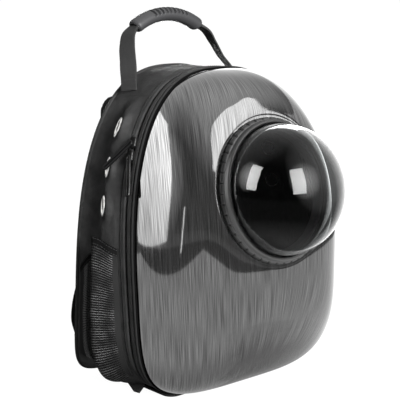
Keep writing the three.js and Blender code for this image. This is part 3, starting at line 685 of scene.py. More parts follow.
def shell_rows(inset):
    """Rows from the rim to the window's hole."""
    rim = front_point(around, -SEAM_GAP, -inset)
    seat = seat_point(seat_angle, SEAT_RADIUS, -inset)
    rise = ((seat - rim) @ AHEAD)[:, None] * AHEAD
    across = seat - rim - rise
    turns = np.linspace(0, np.pi / 2, SHELL_STEPS + 1)
    inward = 1 - np.cos(turns) ** (2 / SHELL_POWER)
    outward = np.sin(turns) ** (2 / SHELL_POWER)
    rows = rim + across * inward[:, None, None] + rise * outward[:, None, None]
    seat_radii = np.linspace(SEAT_RADIUS, HOLE_RADIUS, SEAT_STEPS + 1)[1:]
    return np.concatenate([rows, [seat_point(seat_angle, radius, -inset) for radius in seat_radii]])


def flat_sheet(rows):
    """Where each point lay on the flat sheet, in metres from the window's centre."""
    steps = np.linalg.norm(np.diff(rows[::-1], axis=0), axis=2)
    from_hole = np.concatenate([np.zeros((1, rows.shape[1])), np.cumsum(steps, axis=0)])
    reach = (HOLE_RADIUS + from_hole)[::-1]
    aside = rows[..., 0]
    drop = -((rows - seat_centre) @ AHEAD)
    drawn = aside + SIDE_DRAW * np.tanh(aside / DRAW_WIDTH) * drop
    return np.stack([drawn, reach * np.sin(seat_angle)], axis=-1)


shell_outside = shell_rows(0.0)
shell_inside = shell_rows(SHELL_WALL)[::-1]
shell_sheet = np.concatenate([flat_sheet(shell_outside), flat_sheet(shell_outside)[::-1]])
shell_sheet = np.concatenate([shell_sheet, shell_sheet[:1]])
shell_sheet = np.concatenate([shell_sheet, shell_sheet[:, :1]], axis=1)
print("shell sheet spans:", np.round(np.ptp(shell_sheet.reshape(-1, 2), axis=0), 3), "m")

# %% [markdown]
# ## Shell finish
# The sheet carries a film with printed brush marks under a clear coat. A picture of brushed metal could
# be laid on it, but its lines would blur up close. Noise that is stretched far along one direction of
# the flat sheet draws streaks of any width and length. The print was flat before it was drawn, so they
# run straight up the front.

# %% Shell finish
STREAK_WIDTH = 0.0008
STREAK_LENGTH = 0.055
BROAD_STREAK = 4.0
BROAD_PLACE = 3.0
FINE_SHARE, BROAD_SHARE = 0.9, 0.1
STREAK_EDGE = (0.30, 0.70)
STREAK_GREYS = (0.054, 0.172)


def brushed_film():
    film = Finish("brushed_film", Metallic=0.9, Coat_Roughness=0.03, Coat_Weight=0.25)
    x, y = film.along_cloth()
    fine = film.grain(film.vector(x / STREAK_WIDTH, y / STREAK_LENGTH), 1.0, 1.0, 0.5)
    broad_place = film.vector(x / (STREAK_WIDTH * BROAD_STREAK), y / (2 * STREAK_LENGTH), BROAD_PLACE)
    broad = film.grain(broad_place, 1.0, 1.0)
    streak = (fine * FINE_SHARE + broad * BROAD_SHARE).smooth(*STREAK_EDGE)
    film.drive(Base_Color=film.blend(streak, *STREAK_GREYS), Roughness=0.035 + streak * 0.045)
    film.relief(fine, 0.00005, 0.15)
    return film


brushed = brushed_film()
shell = grid_piece(
    "shell_drawn", np.concatenate([shell_outside, shell_inside]), brushed, loop_rows=True, uv=shell_sheet
)
dress(shell, "bag", "shell", "shell")
print("shell faces:", len(shell.data.polygons))

# %% [markdown]
# ## Window ring
# The ring that holds the bubble is moulded plastic with steps and grip notches. It is round, so a
# profile of radii and heights, turned about the window's axis, gives all of it but the notches.
# Booleans could cut those, but would leave ragged shading, so the turned points are pressed in where a
# notch is. The ring rides on the body that twists in the shell's hole.

# %% Ring
RING_TURNS = 528
NOTCHES = 44
NOTCH_DEPTH = 0.0016
NOTCH_SHARE = 0.20
# a notch is cut outside this radius and above this height, fading in over these distances
NOTCH_RADIUS, NOTCH_RADIUS_FADE = 0.0874, 0.0008
NOTCH_FOOT, NOTCH_FOOT_FADE = 0.0006, 0.001
FLANGE_HEIGHT = 0.006
# the flange's edge is painted dark up to this far along the profile: painted shade, as in the shadow gap
# round the ring
RING_SHADE_END = 0.0243
RING_SHADE_FADE = 0.001
RING_GREYS = (0.012, 0.057)
# radius and height off the seat, with the corner rounding that a moulded part has
RING_PROFILE = [
    (0.0774, -0.007, 0.0004), (0.0774, 0.0003, 0.0), (0.0897, 0.0003, 0.0004), (0.0900, 0.0034, 0.0009),
    (0.0878, 0.0058, 0.0012), (0.0862, 0.0062, 0.0006), (0.0857, 0.0104, 0.0012), (0.0844, 0.0125, 0.0014),
    (0.0818, 0.0122, 0.0012), (0.0807, 0.0106, 0.0008), (0.0807, 0.006, 0.0), (0.0740, 0.006, 0.0004),
    (0.0740, -0.007, 0.0004),
]


def turned(name, profile, turns, finish, shape=None, sharp=SHARP_ANGLE):
    """A profile of radii and heights turned about the window's axis; shape may change both."""
    angle = np.linspace(0, 2 * np.pi, turns, endpoint=False)[:, None]
    radius = np.broadcast_to(profile[:, 0], (turns, len(profile)))
    raised = np.broadcast_to(profile[:, 1], (turns, len(profile)))
    if shape:
        radius, raised = shape(angle, radius, raised)
    points = seat_point(np.broadcast_to(angle, radius.shape), radius, raised)
    return grid_piece(name, points, finish, loop_rows=True, sharp=sharp)


def notched(angle, radius, raised):
    """Cuts even notches into the flange's outer edge and its bevel."""
    place = np.mod(angle / (2 * np.pi) * NOTCHES, 1.0)
    dip = smoothstep(2 * (1 - np.abs(place - 0.5) / (0.5 * NOTCH_SHARE)))
    outside = np.clip((radius - NOTCH_RADIUS) / NOTCH_RADIUS_FADE, 0, 1)
    above = np.clip((raised - NOTCH_FOOT) / NOTCH_FOOT_FADE, 0, 1)
    depth = NOTCH_DEPTH * dip * (outside * above)
    return radius - depth, raised - depth * np.clip(raised / FLANGE_HEIGHT, 0, 1)


ring_outline = rounded(RING_PROFILE)
ring_finish = Finish("ring_plastic", Roughness=0.36, Metallic=0.2)
# painted shade on the flange's edge, and the ring's own grey further in
ring_unshaded = ring_finish.along_cloth()[1].smooth(RING_SHADE_END, RING_SHADE_END + RING_SHADE_FADE)
ring_finish.drive(Base_Color=ring_finish.blend(ring_unshaded, *RING_GREYS))
ring = turned("ring_turned", ring_outline, RING_TURNS, ring_finish, shape=notched)
dress(ring, "window", "ring", "window_ring")
print("ring profile points:", len(ring_outline))

# %% [markdown]
# ## Bubble
# The bubble is a clear dome, blown from a heated sheet. Half a sphere would have no wall, and clear
# plastic needs one, so that light bends on the way in and on the way out. Its profile runs up the
# outside and back down the inside. It is turned about the same axis as the ring, and stands inside the
# ring's lip.

# %% Bubble
DOME_RADIUS = 0.0804
DOME_RISE = 0.077
DOME_WALL = 0.002
DOME_FOOT = 0.0063
DOME_SPRING = 0.0125
DOME_STEPS = 40
DOME_TURNS = 160


def dome_arc(inset):
    """Radius and height from the foot of the bubble up to its pole."""
    arc = np.linspace(0, np.pi / 2, DOME_STEPS)
    radius = DOME_RADIUS - inset
    curve = np.stack([radius * np.cos(arc), DOME_SPRING + (DOME_RISE - inset) * np.sin(arc)], axis=-1)
    return np.concatenate([[[radius, DOME_FOOT]], curve])


dome_profile = np.concatenate([dome_arc(0.0), dome_arc(DOME_WALL)[::-1]])
clear_finish = Finish(
    "clear_bubble", Base_Color=(0.93, 0.95, 0.95, 1), Roughness=0.0, IOR=1.49, Transmission_Weight=1.0
)
dome = turned("bubble_turned", dome_profile, DOME_TURNS, clear_finish)
dress(dome, "window", "clear", "window_dome")
print("bubble faces:", len(dome.data.polygons))

# %% [markdown]
# ## Black cloth, webbing and small hard parts
# The soft bag is plain-woven black cloth with ribbed webbing and tape. One even black would look like
# paper: in real cloth the threads catch light, and it is a little dusty. Image textures could show
# that. Sine waves do it without any: two at right angles for threads, one for ribs. They follow each
# piece's UV map, which is in metres, so threads are as thick on every piece.

# %% Cloth finishes
FULL_TURN = 2 * math.pi
WEAVE_PITCH = 0.0011
WEAVE_SHARE, DUST_SHARE = 0.45, 0.55
DUST_SCALE = 60.0
RIB_PITCH = 0.0016
RIB_WAVE = 0.006
# painted shade in the binding's recess: how far it fades in across the tape, and how dark it gets
RECESS_SHADE_EDGE = 0.0008
RECESS_SHADE_STRENGTH = 0.9


def woven_cloth(name, dark, light):
    cloth = Finish(name, Roughness=0.8, Specular_IOR_Level=0.25)
    along, across = cloth.along_cloth()
    turns = FULL_TURN / WEAVE_PITCH
    weave = (along * turns).sine() * (across * turns).sine() * 0.5 + 0.5
    dust = cloth.grain(cloth.in_space(), DUST_SCALE, 5.0, 0.65).smooth(0.3, 0.7)
    cloth.drive(Base_Color=cloth.blend(weave * WEAVE_SHARE + dust * DUST_SHARE, dark, light))
    cloth.relief(weave, 0.00025, 0.8)
    return cloth


def ribbed_tape(name, dark, light, gloss=0.3, shade_start=None):
    """Ribs along the tape; from the shade's start across it, the tape is painted nearly black, as painted
    shade in a gap.
    """
    tape = Finish(name, Roughness=0.7, Specular_IOR_Level=gloss)
    along, across = tape.along_cloth()
    wave = (across * (FULL_TURN / RIB_WAVE)).sine()
    rib = (along * (FULL_TURN / RIB_PITCH) + wave).sine() * 0.5 + 0.5
    colour = tape.blend(rib, dark, light)
    if shade_start:
        # painted shade: black metal has no gloss, so this also hides the tape's own gloss in the recess
        recess_shade = across.smooth(shade_start, shade_start + RECESS_SHADE_EDGE) * RECESS_SHADE_STRENGTH
        colour = tape.blend(recess_shade, colour, 0.0)
        tape.drive(Metallic=recess_shade)
    tape.drive(Base_Color=colour)
    tape.relief(rib, 0.0003, 0.8)
    return tape


fabric = woven_cloth("black_cloth", 0.003, 0.022)
trim = ribbed_tape("black_webbing", 0.005, 0.013)
plastic = Finish(
    "black_plastic", Base_Color=(0.003, 0.003, 0.003, 1), Roughness=0.35, Specular_IOR_Level=0.2
)
nickel = Finish("nickel", Base_Color=(0.78, 0.77, 0.75, 1), Metallic=1.0, Roughness=0.28)
thread = Finish("black_thread", Base_Color=(0.012, 0.012, 0.012, 1), Roughness=0.55)
print("cloth finishes:", fabric.material.name, trim.material.name)

# %% [markdown]
# ## Zip and binding
# Four bands follow the front seam: the piped binding that holds the shell, the two zip tapes and the
# coil between them. A bevelled curve could make them, but it may twist where the seam turns. So a
# section is drawn once, as depth behind the seam and height over the wall, and the seam's own formula
# places it all round the arch.

# %% Bands
BAND_AROUND = 420
# painted shade: the binding is painted black from here on round its section, on its front edge and in the gap
# beside the shell
BINDING_SHADE_START = 0.0228
BINDING_SECTION = [
    (-0.0020, -0.0050, 0), (0.0100, -0.0050, 0), (0.0100, 0.0004, 0.0012), (0.0078, 0.0026, 0.0018),
    (0.0040, 0.0012, 0.0012), (0.0036, -0.0020, 0.0004), (0.0006, -0.0027, 0), (-0.0020, -0.0028, 0),
]
OVERLAP = 0.0006
GROOVE = 0.0006
TAPE_DEPTH = 0.003
TAPE_CROWN = 0.0011
TAPE_ROLL = 0.0034
TAPE_POWER = 6
TAPE_STEPS = 20
LIP_THICKNESS = 0.0004
BINDING_END = 0.010
FRONT_TAPE_END = 0.020
COIL_END = 0.0232
REAR_TAPE_END = 0.033
band_shares = np.arange(BAND_AROUND) / BAND_AROUND


def band(name, section, finish, place=front_point):
    """A section of (behind, out) taken all the way round a seam."""
    points = place(band_shares[:, None], section[None, :, 0], section[None, :, 1])
    return grid_piece(name, points, finish, loop_rows=True)


def tape_section(start, end, first_lip, last_lip):
    """A tape with a crowned top and rolled edges, and thin lips that run on under its neighbours."""
    t = np.linspace(0, 1, TAPE_STEPS + 1)
    roll = TAPE_CROWN - TAPE_ROLL * np.abs(2 * t - 1) ** TAPE_POWER
    top = np.stack([start + (end - start) * t, roll], axis=-1)[::-1]
    low, thin = -TAPE_DEPTH, LIP_THICKNESS - TAPE_DEPTH
    under = [(first_lip, low), (last_lip, low), (last_lip, thin), (end, thin)]
    return np.concatenate([under, top, [(start, thin), (first_lip, thin)]])


coil_middle = 0.5 * (FRONT_TAPE_END + COIL_END)
binding_outline = rounded(BINDING_SECTION)
binding_tape = ribbed_tape("black_binding", 0.005, 0.013, shade_start=BINDING_SHADE_START)
binding = dress(band("binding_piped", binding_outline, binding_tape), "bag", "trim", "front_binding")
front_section = tape_section(
    BINDING_END + GROOVE, FRONT_TAPE_END, BINDING_END - OVERLAP, coil_middle + OVERLAP
)
rear_section = tape_section(
    COIL_END, REAR_TAPE_END - GROOVE, coil_middle - OVERLAP, REAR_TAPE_END + OVERLAP
)
front_tape = band("tape_front", front_section, fabric)
dress(front_tape, "bag", "fabric", "zip_tape_front")
rear_tape = band("tape_rear", rear_section, fabric)
dress(rear_tape, "bag", "fabric", "zip_tape_rear")
print("bands:", binding.name, front_tape.name, rear_tape.name)

# %% [markdown]
# ## Repeats
# The coil of the zip has hundreds of turns, and the seams have hundreds of stitches. An array modifier
# could lay them along a curve, but it bends every copy. A Geometry Nodes tree lays one small part at
# even steps along any path and turns it to follow the path. One tree lays the coil, and another one,
# built by the same function, lays the stitches.

# %% Repeat trees
REPEAT_INPUTS = {
    "Geometry": "Geometry", "Pitch": "Float", "Length": "Float", "Thickness": "Float", "Material": "Material",
}


def add_node(tree, kind, inputs, **settings):
    """Adds a node, makes its settings, fills its inputs with values or outputs, and returns its outputs."""
    node = tree.nodes.new(kind)
    for key, value in settings.items():
        setattr(node, key, value)
    for name, value in inputs.items():
        if isinstance(value, bpy.types.NodeSocket):
            tree.links.new(value, node.inputs[name])
        else:
            node.inputs[name].default_value = value
    return node.outputs


def repeat_tree(name, add_part):
    """A node tree that lays one part along curves at a pitch; add_part builds the part from the inputs."""
    tree = bpy.data.node_groups.new(name, "GeometryNodeTree")
    for input_name, kind in REPEAT_INPUTS.items():
        tree.interface.new_socket(input_name, in_out="INPUT", socket_type=f"NodeSocket{kind}")
    tree.interface.new_socket("Geometry", in_out="OUTPUT", socket_type="NodeSocketGeometry")
    given = add_node(tree, "NodeGroupInput", {})
    along = {"Curve": given["Geometry"], "Length": given["Pitch"]}
    points = add_node(tree, "GeometryNodeCurveToPoints", along, mode="LENGTH")
    placing = {"Points": points["Points"], "Rotation": points["Rotation"], "Instance": add_part(tree, given)}
    laid = add_node(tree, "GeometryNodeInstanceOnPoints", placing)
    real = add_node(tree, "GeometryNodeRealizeInstances", {"Geometry": laid["Instances"]})
    painting = {"Geometry": real["Geometry"], "Material": given["Material"]}
    painted = add_node(tree, "GeometryNodeSetMaterial", painting)
    add_node(tree, "NodeGroupOutput", {"Geometry": painted["Geometry"]})
    return tree


def stitch_part(tree, given):
    """A bead as long as a stitch, pointing along the curve."""
    bead = add_node(tree, "GeometryNodeMeshUVSphere", {"Segments": 6, "Rings": 4, "Radius": 0.5})
    sizes = {"X": given["Thickness"], "Y": given["Thickness"], "Z": given["Length"]}
    size = add_node(tree, "ShaderNodeCombineXYZ", sizes)
    stretching = {"Geometry": bead["Mesh"], "Scale": size["Vector"]}
    return add_node(tree, "GeometryNodeTransform", stretching)["Geometry"]


def coil_part(tree, given):
    """A ring round the curve, as one turn of a zip's coil."""
    circle = "GeometryNodeCurvePrimitiveCircle"
    turn = add_node(tree, circle, {"Resolution": 10, "Radius": given["Length"]})
    section = add_node(tree, circle, {"Resolution": 5, "Radius": given["Thickness"]})
    sweeping = {"Curve": turn["Curve"], "Profile Curve": section["Curve"]}
    return add_node(tree, "GeometryNodeCurveToMesh", sweeping)["Mesh"]


STITCHES = repeat_tree("stitches_along", stitch_part)
COIL_TURNS = repeat_tree("coil_turns_along", coil_part)
print("repeat trees:", STITCHES.name, COIL_TURNS.name)


# %% Coil
def repeat_along(name, tree, paths, pitch, length, thickness, finish, cyclic=False):
    """Lays a tree's part along paths, each an array of points, and keeps the result as one mesh."""
    curve = bpy.data.curves.new(name, "CURVE")
    curve.dimensions = "3D"
    for path in paths:
        spline = curve.splines.new("POLY")
        spline.points.add(len(path) - 1)
        spline.points.foreach_set("co", np.c_[path, np.ones(len(path))].ravel())
        spline.use_cyclic_u = cyclic
    guide = bpy.data.objects.new(name + "_guide", curve)
    bpy.context.scene.collection.objects.link(guide)
    modifier = guide.modifiers.new("repeat", "NODES")
    modifier.node_group = tree
    given = {"Pitch": pitch, "Length": length, "Thickness": thickness, "Material": finish.material}
    for item in tree.interface.items_tree:
        if item.in_out == "INPUT" and item.name in given:
            modifier[item.identifier] = given[item.name]
    guide.update_tag()
    mesh = evaluated_mesh(guide)
    bpy.data.objects.remove(guide)
    mesh.shade_smooth()
    mesh.materials.clear()
    return place_piece(name, mesh, finish)


COIL_PITCH = 0.0017
COIL_RADIUS = 0.0011
COIL_WIRE = 0.00035
COIL_SUNK = -0.0013
coil_path = front_point(band_shares, coil_middle, COIL_SUNK)
coil = repeat_along(
    "coil_turns", COIL_TURNS, [coil_path], COIL_PITCH, COIL_RADIUS, COIL_WIRE, plastic, cyclic=True
)
dress(coil, "bag", "plastic", "zip_coil")
print("coil faces:", len(coil.data.polygons))

# %% [markdown]
# ## Soft walls
# The sides are cloth that folds inwards between the zip and the back, so that the bag packs flat. A
# cloth simulation could crease them, but this fold is pressed in and always returns to the same place.
# So a short table gives its depth at a share of the way back, and it fades out towards the seams at the
# foot and the shoulder. The eyelets press it flat round the vents, and small soft wrinkles keep the
# rest from looking moulded.

# %% Wall helpers
FABRIC_WALL = 0.0028
FOLD_FADE = 0.040
# share of the way back, and how far out the fold lies there
SIDE_FOLD = [
    (0.0, 0.0), (0.12, 0.0036), (0.26, 0.0070), (0.35, 0.0072), (0.44, 0.0010), (0.58, -0.0110),
    (0.80, -0.0065), (1.0, 0.0),
]
SIDES = {"left": -1, "right": 1}
VENT_HEIGHTS = (0.240, 0.287, 0.334)
VENT_SHARE = 0.37
VENT_OUT = 0.0040
VENT_SLOPE = -0.45
VENT_FLAT = 0.0145
VENT_FADE = 0.009
# where the sides are sewn to the bottom and to the top: metres from the middle, and metres up
FOOT_SEAM_X = 0.096
SHOULDER_SEAM_HEIGHT = 0.372
# finer wrinkles lie on the soft ones: how many times finer, and their share of the depth
FINER, FINER_SHARE = 2.1, 0.5
foot_seam = front_seam.share_at_foot(FOOT_SEAM_X)
shoulder_seam = front_seam.share_at_height(SHOULDER_SEAM_HEIGHT)


def eased(table, x):
    """A smooth curve through a table's rows of (place, value)."""
    place, value = np.array(table, dtype=float).T
    slope = np.gradient(value, place)
    k = np.clip(np.searchsorted(place, x, side="right") - 1, 0, len(place) - 2)
    width = place[k + 1] - place[k]
    t = (x - place[k]) / width
    start = (1 + 2 * t) * (1 - t) ** 2 * value[k] + t * (1 - t) ** 2 * width * slope[k]
    return start + t * t * (3 - 2 * t) * value[k + 1] + t * t * (t - 1) * width * slope[k + 1]


def wall_point(share_round, share_back, out):
    """A point of the straight wall between the two seams, moved out of it."""
    near = front_point(share_round, REAR_TAPE_END + SEAM_GAP, out)
    far = rear_point(share_round, OVERLAP, out)
    return near + (far - near) * np.asarray(share_back)[..., None]


def pressed_flat(share_round, share_back):
    """Where the eyelets press the cloth flat, from 0 to 1, and how far out it then lies."""
    pressed, flat_out = 0.0, 0.0
    for height in VENT_HEIGHTS:
        middle = front_seam.share_at_height(height)
        ends = wall_point(np.array([middle, middle]), np.array([0.0, 1.0]), 0.0)
        up = (share_round - middle) * front_seam.length
        back = (share_back - VENT_SHARE) * np.linalg.norm(ends[1] - ends[0])
        near = 1 - smoothstep((np.hypot(up, back) - VENT_FLAT) / VENT_FADE)
        pressed = pressed + near
        flat_out = flat_out + near * (VENT_OUT + VENT_SLOPE * back)
    return pressed, flat_out


def fold_out(share_round, share_back):
    """How far the fold lifts the cloth off the straight wall."""
    from_seam = np.minimum(share_round - foot_seam, shoulder_seam - share_round) * front_seam.length
    pressed, flat_out = pressed_flat(share_round, share_back)
    return (eased(SIDE_FOLD, share_back) * (1 - pressed) + flat_out) * smoothstep(from_seam / FOLD_FADE)


def ripple(points, pitch, depth, seed):
    """Soft wrinkles: a noise value for each point, in metres."""
    flat = points.reshape(-1, 3) / pitch + seed
    values = [noise.noise(Vector(p)) + FINER_SHARE * noise.noise(Vector(FINER * p)) for p in flat]
    return depth * np.array(values).reshape(points.shape[:-1])


def mirror(points, sign):
    return points * np.array([sign, 1.0, 1.0])


print("seams at shares:", round(foot_seam, 3), round(shoulder_seam, 3))

# %% [markdown]
# ## Panels
# Four pieces of cloth close the bag between the zip and the back: two folded sides, a top and a bottom.
# Each could be a plane that a modifier thickens, but then its edges would stand square to the cloth and
# not follow the seams. Here the inside is laid with the outside, so the panel meets its seams at full
# thickness.

# %% Panels
PANEL_STEP = 0.0035
PANEL_COLUMNS = 44
WRINKLE_PITCH = 0.030
WRINKLE_DEPTH = 0.0015
# wrinkles fade out over this distance from the foot and the shoulder, and this share of the way back
WRINKLE_FADE = 0.02
WRINKLE_FADE_SHARE = 0.1
BOTTOM_SEED, TOP_SEED, SIDE_SEED = 5.0, 9.0, 14.0


def panel_points(start, end, out_at, seed, sign=1):
    """A wrinkled panel of cloth between two shares of the way round."""
    rows = int((end - start) * front_seam.length / PANEL_STEP)
    inset = 0.5 * SEAM_GAP / front_seam.length
    share_round = np.linspace(start + inset, end - inset, rows)[:, None]
    share_back = np.linspace(0, 1, PANEL_COLUMNS)[None, :]
    share_round, share_back = np.broadcast_arrays(share_round, share_back)
    out = out_at(share_round, share_back)
    rest = wall_point(share_round, share_back, out)
    from_ends = np.minimum(share_round - start, end - share_round) * front_seam.length / WRINKLE_FADE
    from_seams = np.minimum(share_back, 1 - share_back) / WRINKLE_FADE_SHARE
    pressed, _ = pressed_flat(share_round, share_back)
    free = smoothstep(np.minimum(from_ends, from_seams)) * (1 - pressed)
    out = out + free * ripple(rest, WRINKLE_PITCH, WRINKLE_DEPTH, seed)
    outside = wall_point(share_round, share_back, out)
    inside = wall_point(share_round, share_back, out - FABRIC_WALL)
    return mirror(np.concatenate([outside, inside[:, ::-1]], axis=1), sign)


def flat_wall(height):
    return lambda share_round, share_back: np.full(share_round.shape, height)


bottom_points = panel_points(-foot_seam, foot_seam, flat_wall(TAPE_CROWN), BOTTOM_SEED)
panel_bottom = dress(grid_piece("bottom_cloth", bottom_points, fabric), "bag", "fabric", "panel_bottom")
top_points = panel_points(shoulder_seam, 1 - shoulder_seam, flat_wall(0.0), TOP_SEED)
panel_top = dress(grid_piece("top_cloth", top_points, fabric), "bag", "fabric", "panel_top")
sides = {}
for side, sign in SIDES.items():
    points = panel_points(foot_seam, shoulder_seam, fold_out, SIDE_SEED + sign, sign)
    sides[side] = dress(grid_piece(f"side_cloth_{side}", points, fabric), "bag", "fabric", f"panel_{side}")
print("panels:", [len(p.data.polygons) for p in (panel_bottom, panel_top, *sides.values())])

# %% [markdown]
# ## Vents
# Three bright metal eyelets on each side let air in. Each is turned about the cloth's own outward
# direction, because the cloth slopes there. The holes could be left open in the panel's grid, but its
# squares don't follow a circle, so a drill on the same axis cuts each hole as a boolean.

# %% Turned about any axis
FRAME_NUDGE = 0.004


def side_frame(share_round, share_back, out):
    """The place and the outward direction of a point on the right-hand side."""

    def at(up, back):
        u, s = np.array([share_round + up]), np.array([share_back + back])
        return wall_point(u, s, fold_out(u, s) + out)[0]

    backwards = at(0, FRAME_NUDGE) - at(0, -FRAME_NUDGE)
    upwards = at(FRAME_NUDGE, 0) - at(-FRAME_NUDGE, 0)
    normal = np.cross(backwards, upwards)
    return at(0, 0), normal / np.linalg.norm(normal)


def around_axis(place, axis, angle, radius, raised):
    """Points at an angle and a radius round any axis that isn't upright."""
    up = np.array([0.0, 0.0, 1.0]) - axis[2] * axis
    up /= np.linalg.norm(up)
    aside = np.cross(up, axis)
    out = np.cos(angle)[..., None] * aside + np.sin(angle)[..., None] * up
    return place + out * np.asarray(radius)[..., None] + np.asarray(raised)[..., None] * axis


def turned_points(place, axis, profile, turns):
    """A profile of radii and heights turned about an axis."""
    angle = np.linspace(0, 2 * np.pi, turns, endpoint=False)[:, None]
    return around_axis(place, axis, angle, profile[None, :, 0], profile[None, :, 1])


print("vent heights:", VENT_HEIGHTS)

# %% Holes and eyelets
EYELET_LIFT = 0.0002
EYELET_TURNS = 64
EYELET_SHARP = math.radians(60)
# radius, height over the cloth, and corner rounding
EYELET_PROFILE = [
    (0.0086, -0.0038, 0.0003), (0.0094, -0.0038, 0.0003), (0.0094, 0.0, 0.0), (0.0135, 0.0, 0.0005),
    (0.0128, 0.0010, 0.0006), (0.0106, 0.0015, 0.0008), (0.0088, 0.0008, 0.0008),
]
DRILL_RADIUS = 0.0097
DRILL_REACH = 0.012
# a disc has a tiny hole along its axis, so that it is a ring of points like other turned shapes
AXIS_GAP = 1e-5


def cut(piece, drill):
    """Cuts one closed mesh out of another and keeps the result."""
    modifier = piece.modifiers.new("cut", "BOOLEAN")
    modifier.operation = "DIFFERENCE"
    modifier.solver = "EXACT"
    modifier.object = drill
    mesh = evaluated_mesh(piece)
    piece.modifiers.clear()
    piece.data = mesh
    bpy.data.objects.remove(drill)


def disc_profile(radius, low, high):
    return np.array([(AXIS_GAP, low), (radius, low), (radius, high), (AXIS_GAP, high)])


eyelet_outline = rounded(EYELET_PROFILE)
drill_outline = disc_profile(DRILL_RADIUS, -DRILL_REACH, DRILL_REACH)
vent_frames = {}
eyelets = []
for side, sign in SIDES.items():
    for number, height in enumerate(VENT_HEIGHTS, 1):
        right_frame = side_frame(front_seam.share_at_height(height), VENT_SHARE, EYELET_LIFT)
        vent_frame = [mirror(v, sign) for v in right_frame]
        vent_frames[f"{side}_{number}"] = vent_frame
        drill_points = turned_points(*vent_frame, drill_outline, EYELET_TURNS)
        cut(sides[side], grid_piece("drill", drill_points, fabric, loop_rows=True))
        eyelet = grid_piece(
            f"eyelet_{side}_{number}", turned_points(*vent_frame, eyelet_outline, EYELET_TURNS), nickel,
            loop_rows=True, sharp=EYELET_SHARP,
        )
        eyelets.append(dress(eyelet, "bag", "nickel", f"vent_eyelet_{side}_{number}"))
print("eyelets:", len(vent_frames))

# %% [markdown]
# ## Net
# A dark net behind each vent keeps the inside of the bag dark. Modelled thread by thread it would take
# far too many faces. So the net is a thin disc whose finish draws bars and loops and is partly
# see-through between them. The side pockets are knitted in the same way, only coarser.

# %% Net
PLAIN_BAND = 0.006
LOOP_WIDTH = 2.2
GLINT_SCALE = 55.0
# shares of the net's width, from its rear edge, where the painted light of the rear strip ends and where the
# front part, with painted glints, starts
LIT_REAR_STRIP = (0.13, 0.165)
FRONT_PART = (0.52, 0.60)


def knitted_net(name, dark, light, pitch, open_share, width=1.0, front_band=-1.0, rear_band=-1.0):
    """Rows of bars with holes between them, with painted shade in the fold, painted light on a strip along
    the rear, painted glints on the front part, and plain bands at the two edges.
    """
    net = Finish(name, Roughness=0.5, Specular_IOR_Level=0.2)
    along, across = net.along_cloth()
    row = along / pitch
    bar = ((row.fraction() - 0.5).size() * 2).smooth(0.5, 0.75)
    column = across / (LOOP_WIDTH * pitch) + row.floor() * 0.5
    loop = ((column.fraction() - 0.5).size() * 2).smooth(0.15, 0.5)
    # painted glints: patches of noise where the threads seem to catch the light
    painted_glints = net.grain(net.in_space(), GLINT_SCALE, 1.0).smooth(0.35, 0.65)
    from_rear = (across - width).size()
    netted = from_rear.above(rear_band) * (width - from_rear).above(front_band)
    # painted light on the strip along the rear edge, which lies in shade; between it and the front part, in
    # the fold, the bars stay dark: painted shade
    painted_rear_light = 1 - from_rear.smooth(*(share * width for share in LIT_REAR_STRIP))
    front_part = from_rear.smooth(*(share * width for share in FRONT_PART))
    knit = net.blend(bar * loop * (front_part * (0.1 + 0.5 * painted_glints) + painted_rear_light), dark, light)
    net.drive(
        Base_Color=net.blend(netted, PLAIN_BAND, knit),
        Alpha=1 - (1 - bar) * loop * netted * open_share,
    )
    net.relief(bar * netted, 0.0004, 0.8)
    return net


VENT_NET_PITCH = 0.0012
NET_RADIUS = 0.0088
NET_LOW, NET_HIGH = -0.0034, -0.0031
NET_TURNS = 32
vent_net = knitted_net("vent_net", 0.002, 0.006, VENT_NET_PITCH, 0.2)
net_outline = disc_profile(NET_RADIUS, NET_LOW, NET_HIGH)
for vent_name, vent_frame in vent_frames.items():
    net_points = turned_points(*vent_frame, net_outline, NET_TURNS)
    net_piece = dress(grid_piece(f"net_{vent_name}", net_points, vent_net, loop_rows=True), "bag", "mesh")
print("vents with net:", len(vent_frames))

# %% [markdown]
# ## Side pockets
# Each pocket is a sheet of knitted mesh sewn on at the foot and at its two edges, with a flat elastic
# hem at its top. It could be blown up as cloth, but it has to keep the fold in its middle and the line
# of its hem. So the pocket's table gives, at a share of the way back, where the sheet starts and ends
# and how far it stands off the wall.

# %% Pocket form
POCKET_WALL = 0.0012
POCKET_SEAM_GAP = 0.0008
HEM_HEIGHT = 0.009
HEM_WALL = 0.0018
# share of the way back, foot height, hem height, bulge
POCKET_TABLE = np.array([
    (0.03, 0.030, 0.190, 0.000), (0.10, 0.027, 0.194, 0.006), (0.20, 0.023, 0.200, 0.010),
    (0.36, 0.020, 0.204, 0.016), (0.43, 0.020, 0.201, 0.012), (0.50, 0.021, 0.196, 0.006),
    (0.62, 0.025, 0.186, 0.004), (0.82, 0.032, 0.171, 0.005), (0.95, 0.037, 0.158, 0.000),
])
POCKET_SWELL = [(0, 0), (0.07, 0.55), (0.17, 0.9), (0.3, 1), (0.55, 1), (0.8, 0.8), (1, 0.7)]
POCKET_ROWS = 70
POCKET_COLUMNS = 60
HEM_ROWS = 8
HEM_SWELL = 0.7
POCKET_WRINKLE_PITCH = 0.028
POCKET_WRINKLE_DEPTH = 0.0011
# where the sheet bulges this far, it is loose enough to wrinkle in full
POCKET_LOOSE = 0.006
POCKET_SEED = 21.0
share_of_height = np.vectorize(front_seam.share_at_height)


